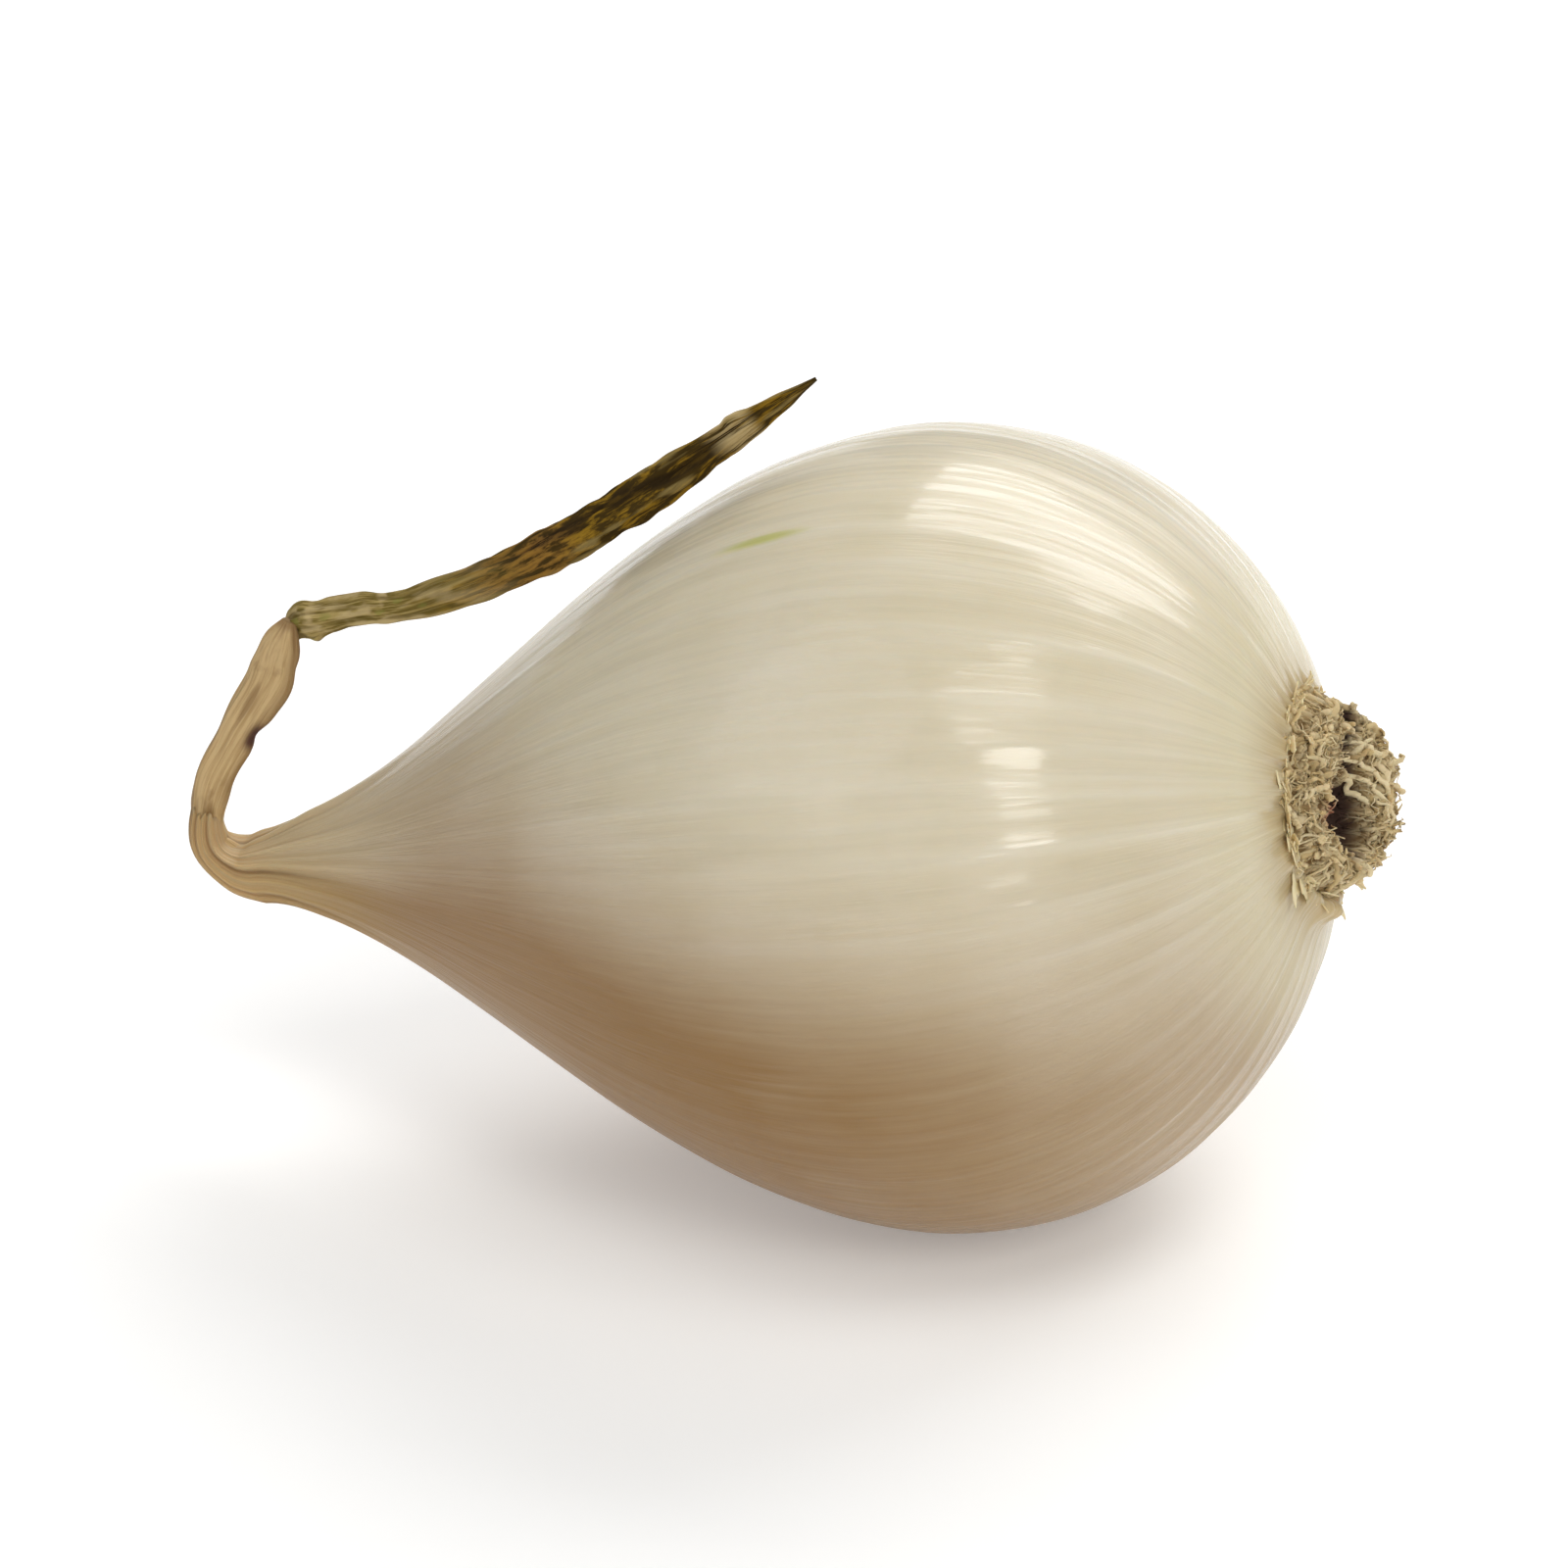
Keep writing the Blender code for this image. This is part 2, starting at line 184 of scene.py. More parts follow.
def lay_down(points):
    """Millimetres on the bulb's own axis to metres where it lies: tilted about Y, then lifted."""
    x, y, z = np.moveaxis(points, -1, 0)
    level = x * cos(LYING_TILT) - z * sin(LYING_TILT)
    height = x * sin(LYING_TILT) + z * cos(LYING_TILT) + LIFT
    return MM * np.stack([level, y, height], axis=-1)


def closed_mesh(name, grid, poles, **attributes):
    """A skin over rings of points, grid[row, side], each row joined to the next and closed by two poles.
    Each attribute has a value or a vector for every point of the grid, and its end rows' mean at the
    poles. Faces are turned outwards by the sign of the volume that they enclose."""
    rows, sides = grid.shape[:2]
    points = np.concatenate([grid.reshape(-1, 3), poles])
    ring = np.arange(rows * sides).reshape(rows, sides)
    beside = np.roll(ring, -1, axis=1)
    first = np.full(sides, rows * sides)
    quads = np.stack([ring[:-1], beside[:-1], beside[1:], ring[1:]], axis=-1).reshape(-1, 4)
    fans = np.concatenate([
        np.stack([first, beside[0], ring[0]], axis=-1),
        np.stack([first + 1, ring[-1], beside[-1]], axis=-1),
    ])
    halves = np.concatenate([quads[:, :3], quads[:, [0, 2, 3]], fans])
    a, b, c = (points[halves[:, i]] - points[0] for i in range(3))
    if np.einsum("ij,ij->", a, np.cross(b, c)) < 0:
        quads = quads[:, ::-1]
        fans = fans[:, ::-1]
    mesh = bpy.data.meshes.new(name)
    mesh.from_pydata(points.tolist(), [], quads.tolist() + fans.tolist())
    for key, values in attributes.items():
        ends = np.stack([values[0].mean(axis=0), values[-1].mean(axis=0)])
        width = 1 if values.ndim == 2 else 3
        flat = np.concatenate([values.reshape(-1, width), ends.reshape(-1, width)])
        kind = "FLOAT" if width == 1 else "FLOAT_VECTOR"
        layer = mesh.attributes.new(key, kind, "POINT")
        layer.data.foreach_set("value" if width == 1 else "vector", flat.ravel())
    mesh.shade_smooth()
    return mesh


def show_piece(name, mesh, material, node=None):
    """The finished piece at the origin: it rides on the bulb's one body and replaces its CAD node, if it
    has one."""
    mesh.materials.append(material)
    piece = bpy.data.objects.new(name, mesh)
    bpy.context.scene.collection.objects.link(piece)
    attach(piece, "root")
    if node:
        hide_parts(node)


def bulb_stations():
    """Rows (x, radius) from the root dish over the rim and belly to the neck, and on up the gathered skin,
    where x goes on falling by the length of skin past the neck's end."""
    floor_radius = np.linspace(0.12, 0.9, DISH_ROWS) * DISH_RADIUS
    floor = np.stack([np.full(DISH_ROWS, DISH_FLOOR), floor_radius], axis=-1)
    rim_angle = acos(RIM_RADIUS / BELLY_RADIUS)
    rim_x = ROOT_END_DEPTH * sin(rim_angle)
    climb = np.linspace(0.12, 1, DISH_ROWS)
    wall_radius = DISH_RADIUS * (0.9 + 0.1 * climb) + 0.14 * climb ** 4
    wall = np.stack([DISH_FLOOR + (rim_x - DISH_FLOOR) * climb ** 0.8, wall_radius], axis=-1)
    turns = rim_angle * (1 - np.linspace(0, 1, ROOT_SIDE_ROWS, endpoint=False) ** 1.15)
    root_side = np.stack([ROOT_END_DEPTH * np.sin(turns), BELLY_RADIUS * np.cos(turns)], axis=-1)
    x = -NECK_LENGTH * np.linspace(0, 1, NECK_SIDE_ROWS + 1)
    neck_side = np.stack([x, neck_side_radius(x)], axis=-1)
    share = np.linspace(0, 1, GATHER_ROWS + 1)[1:]
    gathered = np.stack([-NECK_LENGTH - GATHER_LENGTH * share, smooth_between(GATHER_RADII, share)], axis=-1)
    return np.concatenate([floor, wall, root_side, neck_side, gathered])


def crests(angle, along, count, seed):
    """Thin raised lines, count of them round the axis: a cosine's sixth power on an unevenly spaced
    angle, each stretch of line fading in and out on its way."""
    uneven = angle + 0.9 / count * ripples(angle, along, (2, 3, 5, 7, 11), seed)
    faded = 0.5 + 0.5 * np.clip(ripples(angle, along, (5, 9, 14, 17), seed + 50), -1, 1)
    return (0.5 + 0.5 * np.cos(count * uneven)) ** 6 * faded


def vein_lines(x, radius, angle):
    """How far the skin's raised veins stand up, in mm: fine ones all over and stronger ones that fan out
    from the root end, most of them on its underside. They fade towards the neck and the root dish."""
    full = np.clip(radius / BELLY_RADIUS, 0, 1)
    under = 0.5 + 0.5 * np.cos(angle - SHRED_ANGLE)
    fan = ease(1.5, 9.0, x) * ease(0.18, 0.45, full)
    fine = 0.030 * crests(angle, x, 34, 3) + 0.020 * crests(angle, x, 61, 4)
    return fine * ease(0.15, 0.5, full) + fan * (0.02 + 0.12 * under) * crests(angle, x, 43, 5)


def skin_radius(x, radius, angle):
    """Radius with the bulb's uneven roundness, its veins, the swells between them that deepen towards
    the root end, shallow dents, and the pleats that gather at the neck."""
    share = -x / NECK_LENGTH
    full = np.clip(radius / BELLY_RADIUS, 0, 1)
    lobes = 1 + 0.012 * (np.cos(2 * angle + 0.6) + 0.6 * np.cos(3 * angle - 1.0))
    swells = 0.05 * ease(3.5, 9.5, x) * ease(0.18, 0.5, full) * ripples(angle, x, (13, 19, 23, 29), 6, 0.3)
    dents = 0.04 * ripples(angle, 3.0 * x, (3, 4, 5, 7), 7, 0.2) * full
    gathered = ease(0.7, 1.0, share)
    pleats = 0.035 * np.cos(7 * angle + 0.8) + 0.035 * np.cos(11 * angle + 1.1) + 0.03 * np.cos(16 * angle)
    fine = 0.015 * np.cos(27 * angle) + 0.012 * np.cos(41 * angle)
    return (radius * lobes + vein_lines(x, radius, angle) + swells + dents) * (1 + gathered * (pleats + fine))


profile = bulb_stations()
angle = np.linspace(0, 2 * pi, SKIN_SIDES, endpoint=False)[None, :]
x = np.repeat(profile[:, :1], SKIN_SIDES, axis=1)
smooth_radius = np.repeat(profile[:, 1:], SKIN_SIDES, axis=1)
radius = skin_radius(x, smooth_radius, angle)
relief = radius / smooth_radius - 1
vein = np.clip(vein_lines(x, smooth_radius, angle) / 0.05, 0, 1)

# The torn edge round the root dish, and the longer shred that hangs below it
rows_from_rim = np.abs(np.arange(len(profile)) - RIM_ROW)[:, None]
near_rim = np.exp(-(rows_from_rim / TORN_ROWS) ** 2)
from_shred = np.abs(np.angle(np.exp(1j * (angle - SHRED_ANGLE))))
shred = np.clip(1 - (from_shred / SHRED_HALF_ANGLE) ** 2, 0, 1) * (0.8 + 0.2 * np.cos(23 * angle))
torn = ripples(angle, 0.0, (5, 8, 13, 19, 27, 38), 8)
x = x + near_rim * (RIM_RAGGEDNESS * torn + 0.1 + SHRED_HEIGHT * shred)
radius = radius * (1 + near_rim * (SHRED_FLARE * shred + 0.02 * torn))

# Past the neck's end the rings turn to stay square to the dry neck's route. The neck's end is found on
# the first third of the route, where x only falls.
ROUTE_STEPS = 600
FIRST_THIRD = slice(ROUTE_STEPS // 3, None, -1)
route_share = np.linspace(0, 1, ROUTE_STEPS)
route_points = smooth_between(DRY_NECK_ROUTE, route_share)
route_steps = np.linalg.norm(np.diff(route_points, axis=0), axis=1)
route_length = np.concatenate([[0], np.cumsum(route_steps)])
start_length = np.interp(-NECK_LENGTH, route_points[FIRST_THIRD, 0], route_length[FIRST_THIRD])
past_neck = np.clip(-x - NECK_LENGTH, 0, None)
ragged_end = 0.07 * ripples(angle, 0.0, (2, 5, 9, 14), 9) * ease(0.5, GATHER_LENGTH, past_neck)
past_neck = past_neck * (1 + ragged_end)
on_route = start_length + past_neck
route_x = np.interp(on_route, route_length, route_points[:, 0])
route_z = np.interp(on_route, route_length, route_points[:, 2])
slope = np.arctan2(np.gradient(route_points[:, 2]), -np.gradient(route_points[:, 0]))
tilt = np.interp(on_route, route_length, slope) * ease(0, 0.5, past_neck)
join = ease(BEND_START, -NECK_LENGTH, x)
centre_x = np.where(past_neck > 0, route_x, x)
centre_z = axis_height(np.maximum(x, -NECK_LENGTH)) * (1 - join) + route_z * join
side_y = radius * np.cos(angle)
# The inside of the bend is drawn in, so that the neck's top runs down into the dry neck in one curve
inside_bend = ease(BEND_START, BEND_MIDDLE, x) * (1 - 0.8 * ease(0.9, 2.0, past_neck))
inside_bend = inside_bend * np.clip(np.sin(angle), 0, 1)
side_up = radius * np.sin(angle) * (1 - 0.55 * inside_bend)
skin_points = np.stack([
    centre_x + side_up * np.sin(tilt),
    side_y,
    centre_z + side_up * np.cos(tilt),
], axis=-1)

skin_grid = lay_down(skin_points)
skin_grid[..., 2] = np.maximum(skin_grid[..., 2], 0)
skin_poles = np.stack([
    lay_down(np.array([DISH_FLOOR, 0, axis_height(DISH_FLOOR)])),
    skin_grid[-1].mean(axis=0),
])
grain = np.stack([
    np.cos(angle) * np.ones_like(x),
    np.sin(angle) * np.ones_like(x),
    x / BELLY_RADIUS,
], axis=-1)
skin_mesh = closed_mesh("bulb_skin", skin_grid, skin_poles, grain=grain, relief=relief, vein=vein)


class Value:
    """A socket in a material. Arithmetic on it adds Math nodes, so shader sums read as plain sums."""

    def __init__(self, finish, socket):
        self.finish = finish
        self.socket = socket

    def math(self, operation, first, second):
        """One Math node on two numbers or sockets."""
        return self.finish.node("Math", {"operation": operation}, {0: first, 1: second})

    def __add__(self, other):
        return self.math("ADD", self, other)

    def __rsub__(self, other):
        return self.math("SUBTRACT", other, self)

    def __mul__(self, other):
        return self.math("MULTIPLY", self, other)

    __radd__ = __add__
    __rmul__ = __mul__

    def between(self, low, high):
        """0 at low, 1 at high, smooth in between; low may be above high."""
        settings = {"interpolation_type": "SMOOTHSTEP"}
        return self.finish.node("MapRange", settings, {"Value": self, "From Min": low, "From Max": high})


class Finish:
    """A material on one Principled shader. What is the same all over is set on the shader's sockets."""

    def __init__(self, name, **constants):
        self.material = bpy.data.materials.new(name)
        self.material.use_nodes = True
        self.tree = self.material.node_tree
        self.shader = self.tree.nodes["Principled BSDF"]
        for key, value in constants.items():
            self.shader.inputs[key.replace("_", " ").title().replace("Ior", "IOR")].default_value = value

    def feed(self, socket, value):
        """Links a value into a socket, or sets the socket to it; a colour gets its alpha."""
        if isinstance(value, Value):
            self.tree.links.new(value.socket, socket)
        elif socket.type == "RGBA":
            socket.default_value = (*value, 1.0)
        else:
            socket.default_value = value

    def node(self, kind, settings, inputs, output=0):
        """A node of a kind, its settings set first, then its sockets, and one output as a Value."""
        node = self.tree.nodes.new("ShaderNode" + kind)
        for key, value in settings.items():
            setattr(node, key, value)
        for key, value in inputs.items():
            self.feed(node.inputs[key], value)
        return Value(self, node.outputs[output])

    def mix(self, factor, first, second):
        """A colour between two, by a factor from 0 to 1."""
        return self.node("Mix", {"data_type": "RGBA"}, {0: factor, 6: first, 7: second}, 2)

    def noise(self, coordinates, scale, detail=3.0, roughness=0.55):
        """Noise on coordinates that are first stretched by a scale for each axis."""
        stretched = self.node("Mapping", {}, {"Vector": coordinates, "Scale": scale})
        settings = {"Vector": stretched, "Scale": 1.0, "Detail": detail, "Roughness": roughness}
        return self.node("TexNoise", {}, settings)

    def attribute(self, name, output="Fac"):
        """One of the mesh's own attributes: a number, or with output "Vector" a vector."""
        return self.node("Attribute", {"attribute_name": name}, {}, output)

    def component(self, vector, axis):
        """One component of a vector, by the name of its axis."""
        return self.node("SeparateXYZ", {}, {"Vector": vector}, axis)

    def object_place(self):
        """The place on the object, in metres."""
        return self.node("TexCoord", {}, {}, "Object")

    def bump(self, height, distance):
        """Fine relief: a height from 0 to 1 that stands up by a distance in metres."""
        settings = {"Height": height, "Distance": distance, "Strength": 1.0}
        self.set(Normal=self.node("Bump", {}, settings))

    def set(self, **sockets):
        """Feeds the shader's own sockets."""
        for key, value in sockets.items():
            self.feed(self.shader.inputs[key.replace("_", " ")], value)


IVORY = (0.70, 0.625, 0.465)
CREAM = (0.66, 0.58, 0.405)
PAINTED_SHEEN = (0.84, 0.82, 0.73)
OLIVE_VEIN = (0.50, 0.45, 0.27)
GATHERED_TAN = (0.50, 0.36, 0.17)
NECK_BROWN_AND_SHADE = (0.30, 0.17, 0.048)
PLEAT_SHADE_BROWN = (0.13, 0.06, 0.015)
TIP_ORANGE = (0.56, 0.34, 0.14)
ROOT_END_CREAM = (0.64, 0.57, 0.37)
ROOT_END_TAN = (0.42, 0.29, 0.12)
UNDERSIDE_TAN_AND_SHADE = (0.26, 0.13, 0.022)
FRESH_GREEN = (0.47, 0.47, 0.08)
# The green fleck's place in the grain, whose third axis is shortened there so that the fleck comes out long
FLECK_SHORTENING = 0.18
GREEN_FLECK_PLACE = (-0.262, 0.965, -0.24 * FLECK_SHORTENING)

white_skin = Finish(
    "white_skin", subsurface_weight=0.25, subsurface_scale=0.0015, coat_roughness=0.12, ior=1.45)
white_skin.shader.inputs["Subsurface Radius"].default_value = (1.0, 0.65, 0.35)
across = white_skin.attribute("grain", "Vector")
along = white_skin.component(across, "Z")
upward = white_skin.component(across, "Y")
object_place = white_skin.object_place()
height = white_skin.component(object_place, "Z")
clouds = white_skin.noise(object_place, (150, 150, 150), 2.0)
mottle = white_skin.noise(object_place, (900, 900, 900), 3.0)
streaks = white_skin.noise(across, (14, 14, 1.2))
fine_streaks = white_skin.noise(across, (42, 42, 2.4), 4.0)
veins = white_skin.attribute("vein")
colour = white_skin.mix(clouds.between(0.3, 0.7), IVORY, CREAM)
# Pale streaks of painted sheen.
colour = white_skin.mix(streaks.between(0.48, 0.75) * 0.14, colour, PAINTED_SHEEN)
olive = fine_streaks.between(0.54, 0.72) * 0.09 + mottle.between(0.5, 0.8) * 0.1
colour = white_skin.mix(olive, colour, OLIVE_VEIN)
# The crests of the raised veins are painted paler: a painted highlight where they catch the light.
colour = white_skin.mix(veins * 0.22, colour, PAINTED_SHEEN)
# The lower part, by height, turns darker and warmer: partly the skin's own tan, partly painted shade and a
# painted brown reflection from below. Its coat is thinned there too.
below = height.between(0.0180, 0.0075) * (0.78 - 0.36 * along + 0.3 * clouds)
below = below * (1 - 0.72 * along.between(-0.9, -1.6) * upward.between(-0.35, 0.6))
colour = white_skin.mix(below * (0.77 + 0.36 * fine_streaks), colour, UNDERSIDE_TAN_AND_SHADE)
# Towards the neck the skin turns tan and brown, more on its lower side and darkest along its lowest line:
# partly the neck's own colour, partly painted shade.
near_neck = along.between(-1.25, -1.8)
lower_half = upward.between(0.75, -0.45)
colour = white_skin.mix(near_neck * (0.30 + 0.6 * fine_streaks + 0.3 * lower_half), colour, GATHERED_TAN)
colour = white_skin.mix(along.between(-0.75, -1.5) * upward.between(0.05, -0.8) * 0.70, colour, NECK_BROWN_AND_SHADE)
colour = white_skin.mix(along.between(-1.1, -1.6) * upward.between(-0.80, -0.95) * 0.6, colour, PLEAT_SHADE_BROWN)
colour = white_skin.mix(along.between(-1.7, -1.85) * streaks.between(0.4, 0.6) * 0.6, colour, TIP_ORANGE)
# Painted shade in the valleys of the pleats at the neck.
valleys = white_skin.attribute("relief").between(0.0, -0.09)
colour = white_skin.mix(valleys * along.between(-1.5, -1.8) * 0.45, colour, PLEAT_SHADE_BROWN)
colour = white_skin.mix(along.between(0.70, 0.88) * 0.6, colour, ROOT_END_CREAM)
colour = white_skin.mix(along.between(0.85, 0.92) * (0.1 + fine_streaks), colour, ROOT_END_TAN)
from_fleck = white_skin.node("VectorMath", {"operation": "DISTANCE"}, {
    0: white_skin.node("Mapping", {}, {"Vector": across, "Scale": (1, 1, FLECK_SHORTENING)}),
    1: GREEN_FLECK_PLACE,
}, "Value")
fleck = from_fleck.between(0.030, 0.006) * fine_streaks.between(0.30, 0.52)
colour = white_skin.mix(fleck * 0.75, colour, FRESH_GREEN)
white_skin.set(
    Base_Color=colour,
    Roughness=0.24 + 0.25 * fine_streaks + 0.25 * near_neck,
    Coat_Weight=(0.12 + 0.8 * fine_streaks.between(0.42, 0.60)) * (1 - 0.9 * near_neck) * (1 - 0.7 * below),
)
white_skin.bump(fine_streaks + 0.5 * streaks, 0.000032)
show_piece("bulb_skin", skin_mesh, white_skin.material, "bulb")

# Dry neck
# The bulb's outer skins past the neck, dried to a flat straw-coloured ribbon a millimetre wide. It is
# twisted and pleated lengthwise, with brown edges, and it stands up out of the gathered skin.
RIBBON_ROUTE = DRY_NECK_ROUTE[:-1] + ((-19.4, -0.1, 7.4), (-18.8, -0.25, 8.45))
RIBBON_WIDTHS = (0.7, 0.8, 0.84, 0.84, 0.78, 0.7, 0.66, 0.6, 0.56, 0.54, 0.52, 0.2)
RIBBON_THICKNESSES = (0.8, 0.86, 0.86, 0.88, 0.9, 0.98, 1.1, 1.24, 1.36, 1.36, 1.2, 0.4)
RIBBON_FOLD = 0.15
RIBBON_ROWS = 220
RIBBON_SIDES = 56


def swept_strand(route, widths, thicknesses, rows, sides, wrinkle, twist=0.0, fold=0.0):
    """A flat strand along a route: a flattened ring that turns by the twist and is creased lengthwise,
    its size multiplied by wrinkle(share, angle), where the angle doesn't turn with the twist.
    Returns its rings of points, in millimetres, with each point's share of the way and its angle."""
    share = np.linspace(0, 1, rows)
    centre = smooth_between(route, share)
    along = smooth_between(route, share + 0.01) - smooth_between(route, share - 0.01)
    along /= np.linalg.norm(along, axis=1, keepdims=True)
    side = np.array([0.0, 1.0, 0.0]) - along[:, 1:2] * along
    side /= np.linalg.norm(side, axis=1, keepdims=True)
    up = np.cross(along, side)
    share = share[:, None]
    turn = twist * share
    angle = np.linspace(0, 2 * pi, sides, endpoint=False)[None, :]
    size = wrinkle(share, angle + turn)
    half_width = 0.5 * smooth_between(widths, share)
    half_thickness = 0.5 * smooth_between(thicknesses, share)
    across = half_width * np.cos(angle) * size
    through = half_thickness * (np.sin(angle) + fold * np.cos(angle) ** 2) * size
    toward_side = across * np.cos(turn) - through * np.sin(turn)
    toward_up = across * np.sin(turn) + through * np.cos(turn)
    points = centre[:, None] + toward_side[..., None] * side[:, None] + toward_up[..., None] * up[:, None]
    return points, share + 0 * angle, angle + turn


def ribbon_wrinkle(share, angle):
    """Shallow lengthwise pleats that lean round the ribbon, slow swells, and a nick in its inner edge."""
    pleats = 0.04 * np.cos(4 * angle + 5 * share) + 0.03 * np.cos(7 * angle - 8 * share + 1.0)
    fine = 0.02 * np.cos(13 * angle + 12 * share) + 0.014 * np.cos(22 * angle - 9 * share)
    swells = 0.045 * np.sin(27 * share + 2 * np.cos(angle)) + 0.03 * np.sin(53 * share + angle)
    nick = -0.3 * np.exp(-((share - 0.68) / 0.02) ** 2) * np.clip(np.cos(angle + 1.57), 0, 1) ** 2
    return 1 + pleats + fine + swells + nick


neck_points, neck_share, neck_angle = swept_strand(
    RIBBON_ROUTE, RIBBON_WIDTHS, RIBBON_THICKNESSES, RIBBON_ROWS, RIBBON_SIDES, ribbon_wrinkle,
    fold=RIBBON_FOLD)
neck_grid = lay_down(neck_points)
neck_grain = np.stack([np.cos(neck_angle), np.sin(neck_angle), neck_share], axis=-1)
neck_relief = ribbon_wrinkle(neck_share, neck_angle) - 1
neck_mesh = closed_mesh(
    "dry_neck_ribbon", neck_grid, neck_grid[[0, -1]].mean(axis=1), grain=neck_grain, relief=neck_relief)

STRAW = (0.42, 0.27, 0.105)
PALE_STRAW = (0.57, 0.40, 0.19)
EDGE_BROWN = (0.20, 0.10, 0.025)
FOLD_SHADOW_OLIVE = (0.15, 0.10, 0.02)
NICK_RED = (0.045, 0.006, 0.004)

straw_skin = Finish("straw_skin", subsurface_weight=0.05, subsurface_scale=0.0005)
across = straw_skin.attribute("grain", "Vector")
along = straw_skin.component(across, "Z")
upward = straw_skin.component(across, "Y")
fibres = straw_skin.noise(across, (6, 6, 6), 4.0, 0.65)
blotches = straw_skin.noise(across, (1.2, 1.2, 14), 3.0)
folds = straw_skin.attribute("relief")
colour = straw_skin.mix(fibres.between(0.36, 0.60), STRAW, PALE_STRAW)
colour = straw_skin.mix(blotches.between(0.55, 0.75) * 0.4, colour, EDGE_BROWN)
colour = straw_skin.mix(folds.between(-0.03, -0.12) * 0.6, colour, EDGE_BROWN)
outer_edge = along.between(0.66, 0.45) * upward.between(0.35, 0.95)
inner_edge = along.between(0.45, 0.6) * upward.between(-0.5, -0.95)
colour = straw_skin.mix((outer_edge + inner_edge) * 0.65, colour, EDGE_BROWN)
# Painted shadow of the fold: darker olive on one side of the ribbon, from the neck up to its bend.
colour = straw_skin.mix(along.between(0.50, 0.40) * upward.between(0.55, 0.98) * 0.5, colour, FOLD_SHADOW_OLIVE)
nick = along.between(0.645, 0.67) * along.between(0.72, 0.69) * upward.between(-0.3, -0.8)
colour = straw_skin.mix(nick * 0.9, colour, NICK_RED)
colour = straw_skin.mix(along.between(0.955, 0.985) * 0.6, colour, EDGE_BROWN)
straw_skin.set(Base_Color=colour, Roughness=0.55 + 0.3 * fibres)
straw_skin.bump(fibres, 0.00005)
show_piece("dry_neck_ribbon", neck_mesh, straw_skin.material, "dry_neck")

# Withered leaf
# The last leaf, dried olive-brown: it kinks over the top of the dry neck, runs on as a thin stem, and
# opens into a rolled blade with a ragged shoulder and a drawn-out tip; the roll's inside is painted dark as
# shade.
LEAF_ROUTE = (
    (-19.6, 0.1, 6.95),
    (-18.9, 0.25, 7.9),
    (-18.0, 0.16, 8.2),
    (-16.5, 0.17, 8.4),
    (-15.0, 0.31, 8.42),
    (-12.0, 0.67, 9.15),
    (-9.6, 1.0, 10.05),
    (-7.2, 1.36, 11.15),
    (-4.3, 1.85, 12.65),
    (-2.1, 2.5, 13.6),
)
BLADE_WIDTHS = (0.3, 0.4, 0.8, 0.86, 0.84, 0.86, 1.0, 1.2, 1.38, 1.42, 1.3, 0.85, 0.12)
BLADE_THICKNESSES = (0.3, 0.5, 1.25, 1.05, 0.84, 0.72, 0.74, 0.8, 0.8, 0.8, 0.68, 0.5, 0.12)
BLADE_TWIST = radians(140)
BLADE_FOLD = 0.3
BLADE_ROWS = 420
BLADE_SIDES = 72
# The roll's open side, as an angle round the leaf from +Y over the top
ROLL_OPENING = radians(152)


def roll_depth(share, angle):
    """How deep a point lies in the crooked groove that the rolled blade leaves open, from 0 to 1."""
    crooked = 0.45 * np.sin(17 * share) + 0.22 * np.sin(39 * share + 1)
    from_opening = np.angle(np.exp(1j * (angle - ROLL_OPENING - crooked)))
    spread = 0.5 + 0.16 * np.sin(61 * share) + 0.1 * np.sin(103 * share + 2)
    opened = ease(0.46, 0.62, share) * ease(0.97, 0.86, share)
    return opened * np.exp(-(from_opening / spread) ** 2)


def leaf_wrinkle(share, angle):
    """Lengthwise ridges and shrunken hollows between them, the roll's groove, and a torn shoulder."""
    ridges = 0.08 * np.cos(4 * angle + 5 * share) + 0.06 * np.cos(7 * angle - 9 * share + 0.6)
    fine = 0.03 * np.cos(13 * angle + 14 * share) + 0.02 * np.cos(22 * angle - 23 * share)
    swells = 0.06 * np.sin(43 * share + 2 * np.cos(angle)) + 0.03 * np.sin(91 * share + 3 * np.sin(angle))
    crumple = 0.03 * np.sin(151 * share + 3 * np.cos(2 * angle)) * ease(0.45, 0.6, share)
    shoulder = 0.30 * ease(0.868, 0.880, share) * ease(0.905, 0.882, share)
    shoulder = shoulder * np.clip(np.cos(angle - 1.4), 0, 1)
    return 1 + ridges + fine + swells + crumple + shoulder - 0.35 * roll_depth(share, angle)


leaf_points, leaf_share, leaf_angle = swept_strand(
    LEAF_ROUTE, BLADE_WIDTHS, BLADE_THICKNESSES, BLADE_ROWS, BLADE_SIDES, leaf_wrinkle,
    BLADE_TWIST, BLADE_FOLD)
leaf_grid = lay_down(leaf_points)
leaf_grain = np.stack([np.cos(leaf_angle), np.sin(leaf_angle), leaf_share], axis=-1)
leaf_mesh = closed_mesh(
    "leaf_blade", leaf_grid, leaf_grid[[0, -1]].mean(axis=1), grain=leaf_grain,
    relief=leaf_wrinkle(leaf_share, leaf_angle) - 1, roll=roll_depth(leaf_share, leaf_angle))

OLIVE_BROWN = (0.15, 0.105, 0.02)
KHAKI = (0.42, 0.31, 0.11)
STEM_TAN = (0.54, 0.41, 0.20)
BLADE_DARK = (0.055, 0.032, 0.005)
BLADE_GOLD = (0.29, 0.165, 0.013)
ROLL_SHADE = (0.028, 0.016, 0.005)
RUST = (0.28, 0.14, 0.035)
MOSS_GREEN = (0.24, 0.24, 0.05)

